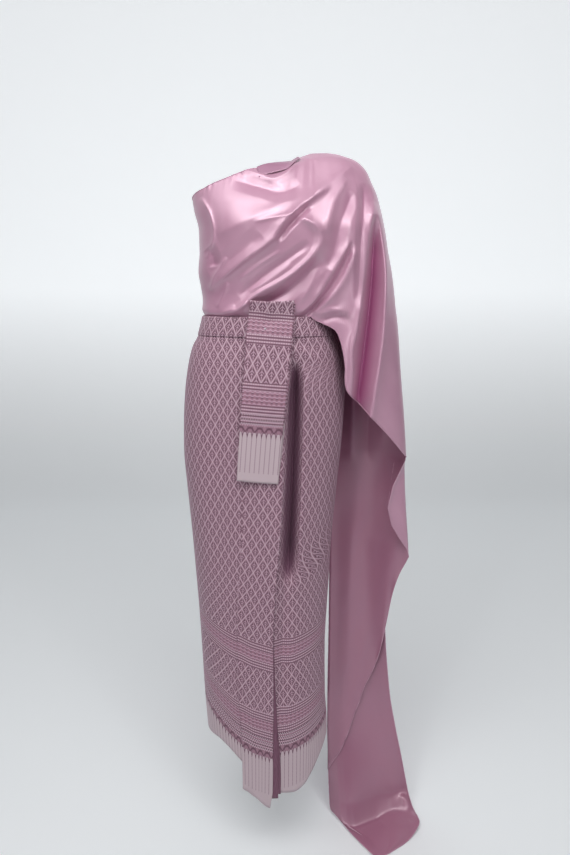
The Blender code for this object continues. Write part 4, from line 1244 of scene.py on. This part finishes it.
class DRESS_OT_waistband(bpy.types.Operator):
    """Waistband of the skirt"""

    bl_idname = "dress.waistband"
    bl_label = "Waistband"

    def execute(self, context):
        phi = np.linspace(2 * math.pi, 0, 221)[:-1]
        z = np.array([0.0004, 0.0, -0.002, -0.010, -0.018, -0.026, -0.034, -BAND_HEIGHT])
        bulge = np.array([-0.0006, 0.0004, 0.0011, 0.0016, 0.0019, 0.0016, 0.0011, 0.0005])
        places = np.meshgrid(phi, z)
        out = np.repeat(bulge[:, None], len(phi), axis=1)
        grid = skirt_point(places[0], places[1], out, None)
        u, v = runs_of(np.concatenate([grid, grid[:, :1]], axis=1))
        place = [(u[:, :-1], v[:, :-1] + 0.55)]
        piece = cloth("brocade_waistband", [grid], finish("brocade"), BAND_THICKNESS, place, closed=True)
        place_on_frame(piece, "brocade", "waistband")
        return {"FINISHED"}


def tab_grid(rows, columns, upper, lower, side, width, out):
    """Grid of one layer of the front tab, which leans towards -X as it hangs."""
    s, t = np.meshgrid(np.linspace(-1, 1, columns), np.linspace(0, 1, rows))
    z = upper + (lower - upper) * t
    centre = 0.0105 + 0.094 * z * (1 - 0.25 * np.maximum(0.0, -z)) + side
    half = width / 2 * (1 - 0.07 * t) - 0.003 * blend(z, -0.02, 0.035)
    over_skirt = 3.35 * LAYER
    lift = np.interp(z, [-0.10, -0.020, -0.002, 0.035], [over_skirt, over_skirt, 0.0036, 0.0058]) + out
    low = z - 0.0034 * s * t - 0.0022 * (1 - s * s) * (1 - t) ** 2
    lift = lift - 0.0035 * np.exp(-(((s + 0.02) / 0.30) ** 2) - ((z + 0.006) / 0.014) ** 2)
    return skirt_point(skirt_phi(centre + half * s, low, lift), low, lift, None)


def bead(grid):
    """Small faceted bead that is sewn on the tab."""
    near = np.argmin(np.linalg.norm(grid[..., [0, 2]] - np.array([0.0, -0.0175]), axis=-1))
    centre = grid.reshape(-1, 3)[near]
    bm = bmesh.new()
    bmesh.ops.create_icosphere(bm, subdivisions=2, radius=0.0024)
    for vert in bm.verts:
        vert.co.y *= 0.7
    bmesh.ops.translate(bm, vec=Vector(centre) - Vector((0, 0.0014, 0)), verts=bm.verts)
    mesh = bpy.data.meshes.new("tab_bead")
    bm.to_mesh(mesh)
    bm.free()
    place_on_frame(link_piece("tab_bead", mesh, finish("bead")), "brocade")


class DRESS_OT_tab(bpy.types.Operator):
    """Folded tab that stands above the waistband and hangs over the skirt"""

    bl_idname = "dress.tab"
    bl_label = "Front tab"

    def execute(self, context):
        thickness = context.scene.dress_size.brocade_thickness
        for name, grid in [
            ("tab_front", tab_grid(90, 34, 0.033, -0.316, 0.0, 0.087, 2 * LAYER + 0.0015)),
            ("tab_back", tab_grid(70, 30, 0.0265, -0.288, 0.0035, 0.085, LAYER + 0.0004)),
        ]:
            piece = cloth("brocade_" + name, [grid], finish("brocade_tab"), thickness)
            if name == "tab_front":
                bead(grid)
            place_on_frame(piece, "brocade", name)
        return {"FINISHED"}


class DRESS_PT_panel(bpy.types.Panel):
    """Lists the pieces of the dress"""

    bl_idname = "DRESS_PT_panel"
    bl_label = "Thai Dress"
    bl_space_type = "VIEW_3D"
    bl_region_type = "UI"
    bl_category = "Thai Dress"

    def draw(self, context):
        for cls in OPERATORS:
            self.layout.operator(cls.bl_idname)
        for group in (context.scene.dress_size, context.scene.dress_look):
            for key in group.bl_rna.properties.keys():
                if key not in ("rna_type", "name"):
                    self.layout.prop(group, key)


OPERATORS = [
    DRESS_OT_stage,
    DRESS_OT_satin_top,
    DRESS_OT_satin_tail,
    DRESS_OT_neck_layer,
    DRESS_OT_skirt,
    DRESS_OT_waistband,
    DRESS_OT_tab,
]
GROUPS = [DressLook, DressSize]


def register():
    for cls in GROUPS + OPERATORS + [DRESS_PT_panel]:
        bpy.utils.register_class(cls)
    bpy.types.Scene.dress_look = PointerProperty(type=DressLook)
    bpy.types.Scene.dress_size = PointerProperty(type=DressSize)


def unregister():
    del bpy.types.Scene.dress_look
    del bpy.types.Scene.dress_size
    for cls in reversed(GROUPS + OPERATORS + [DRESS_PT_panel]):
        bpy.utils.unregister_class(cls)


def main():
    register()
    bpy.ops.dress.stage()
    bpy.ops.dress.satin_top()
    bpy.ops.dress.satin_tail()
    bpy.ops.dress.neck_layer()
    bpy.ops.dress.skirt()
    bpy.ops.dress.waistband()
    bpy.ops.dress.tab()


if __name__ == "__main__":
    main()
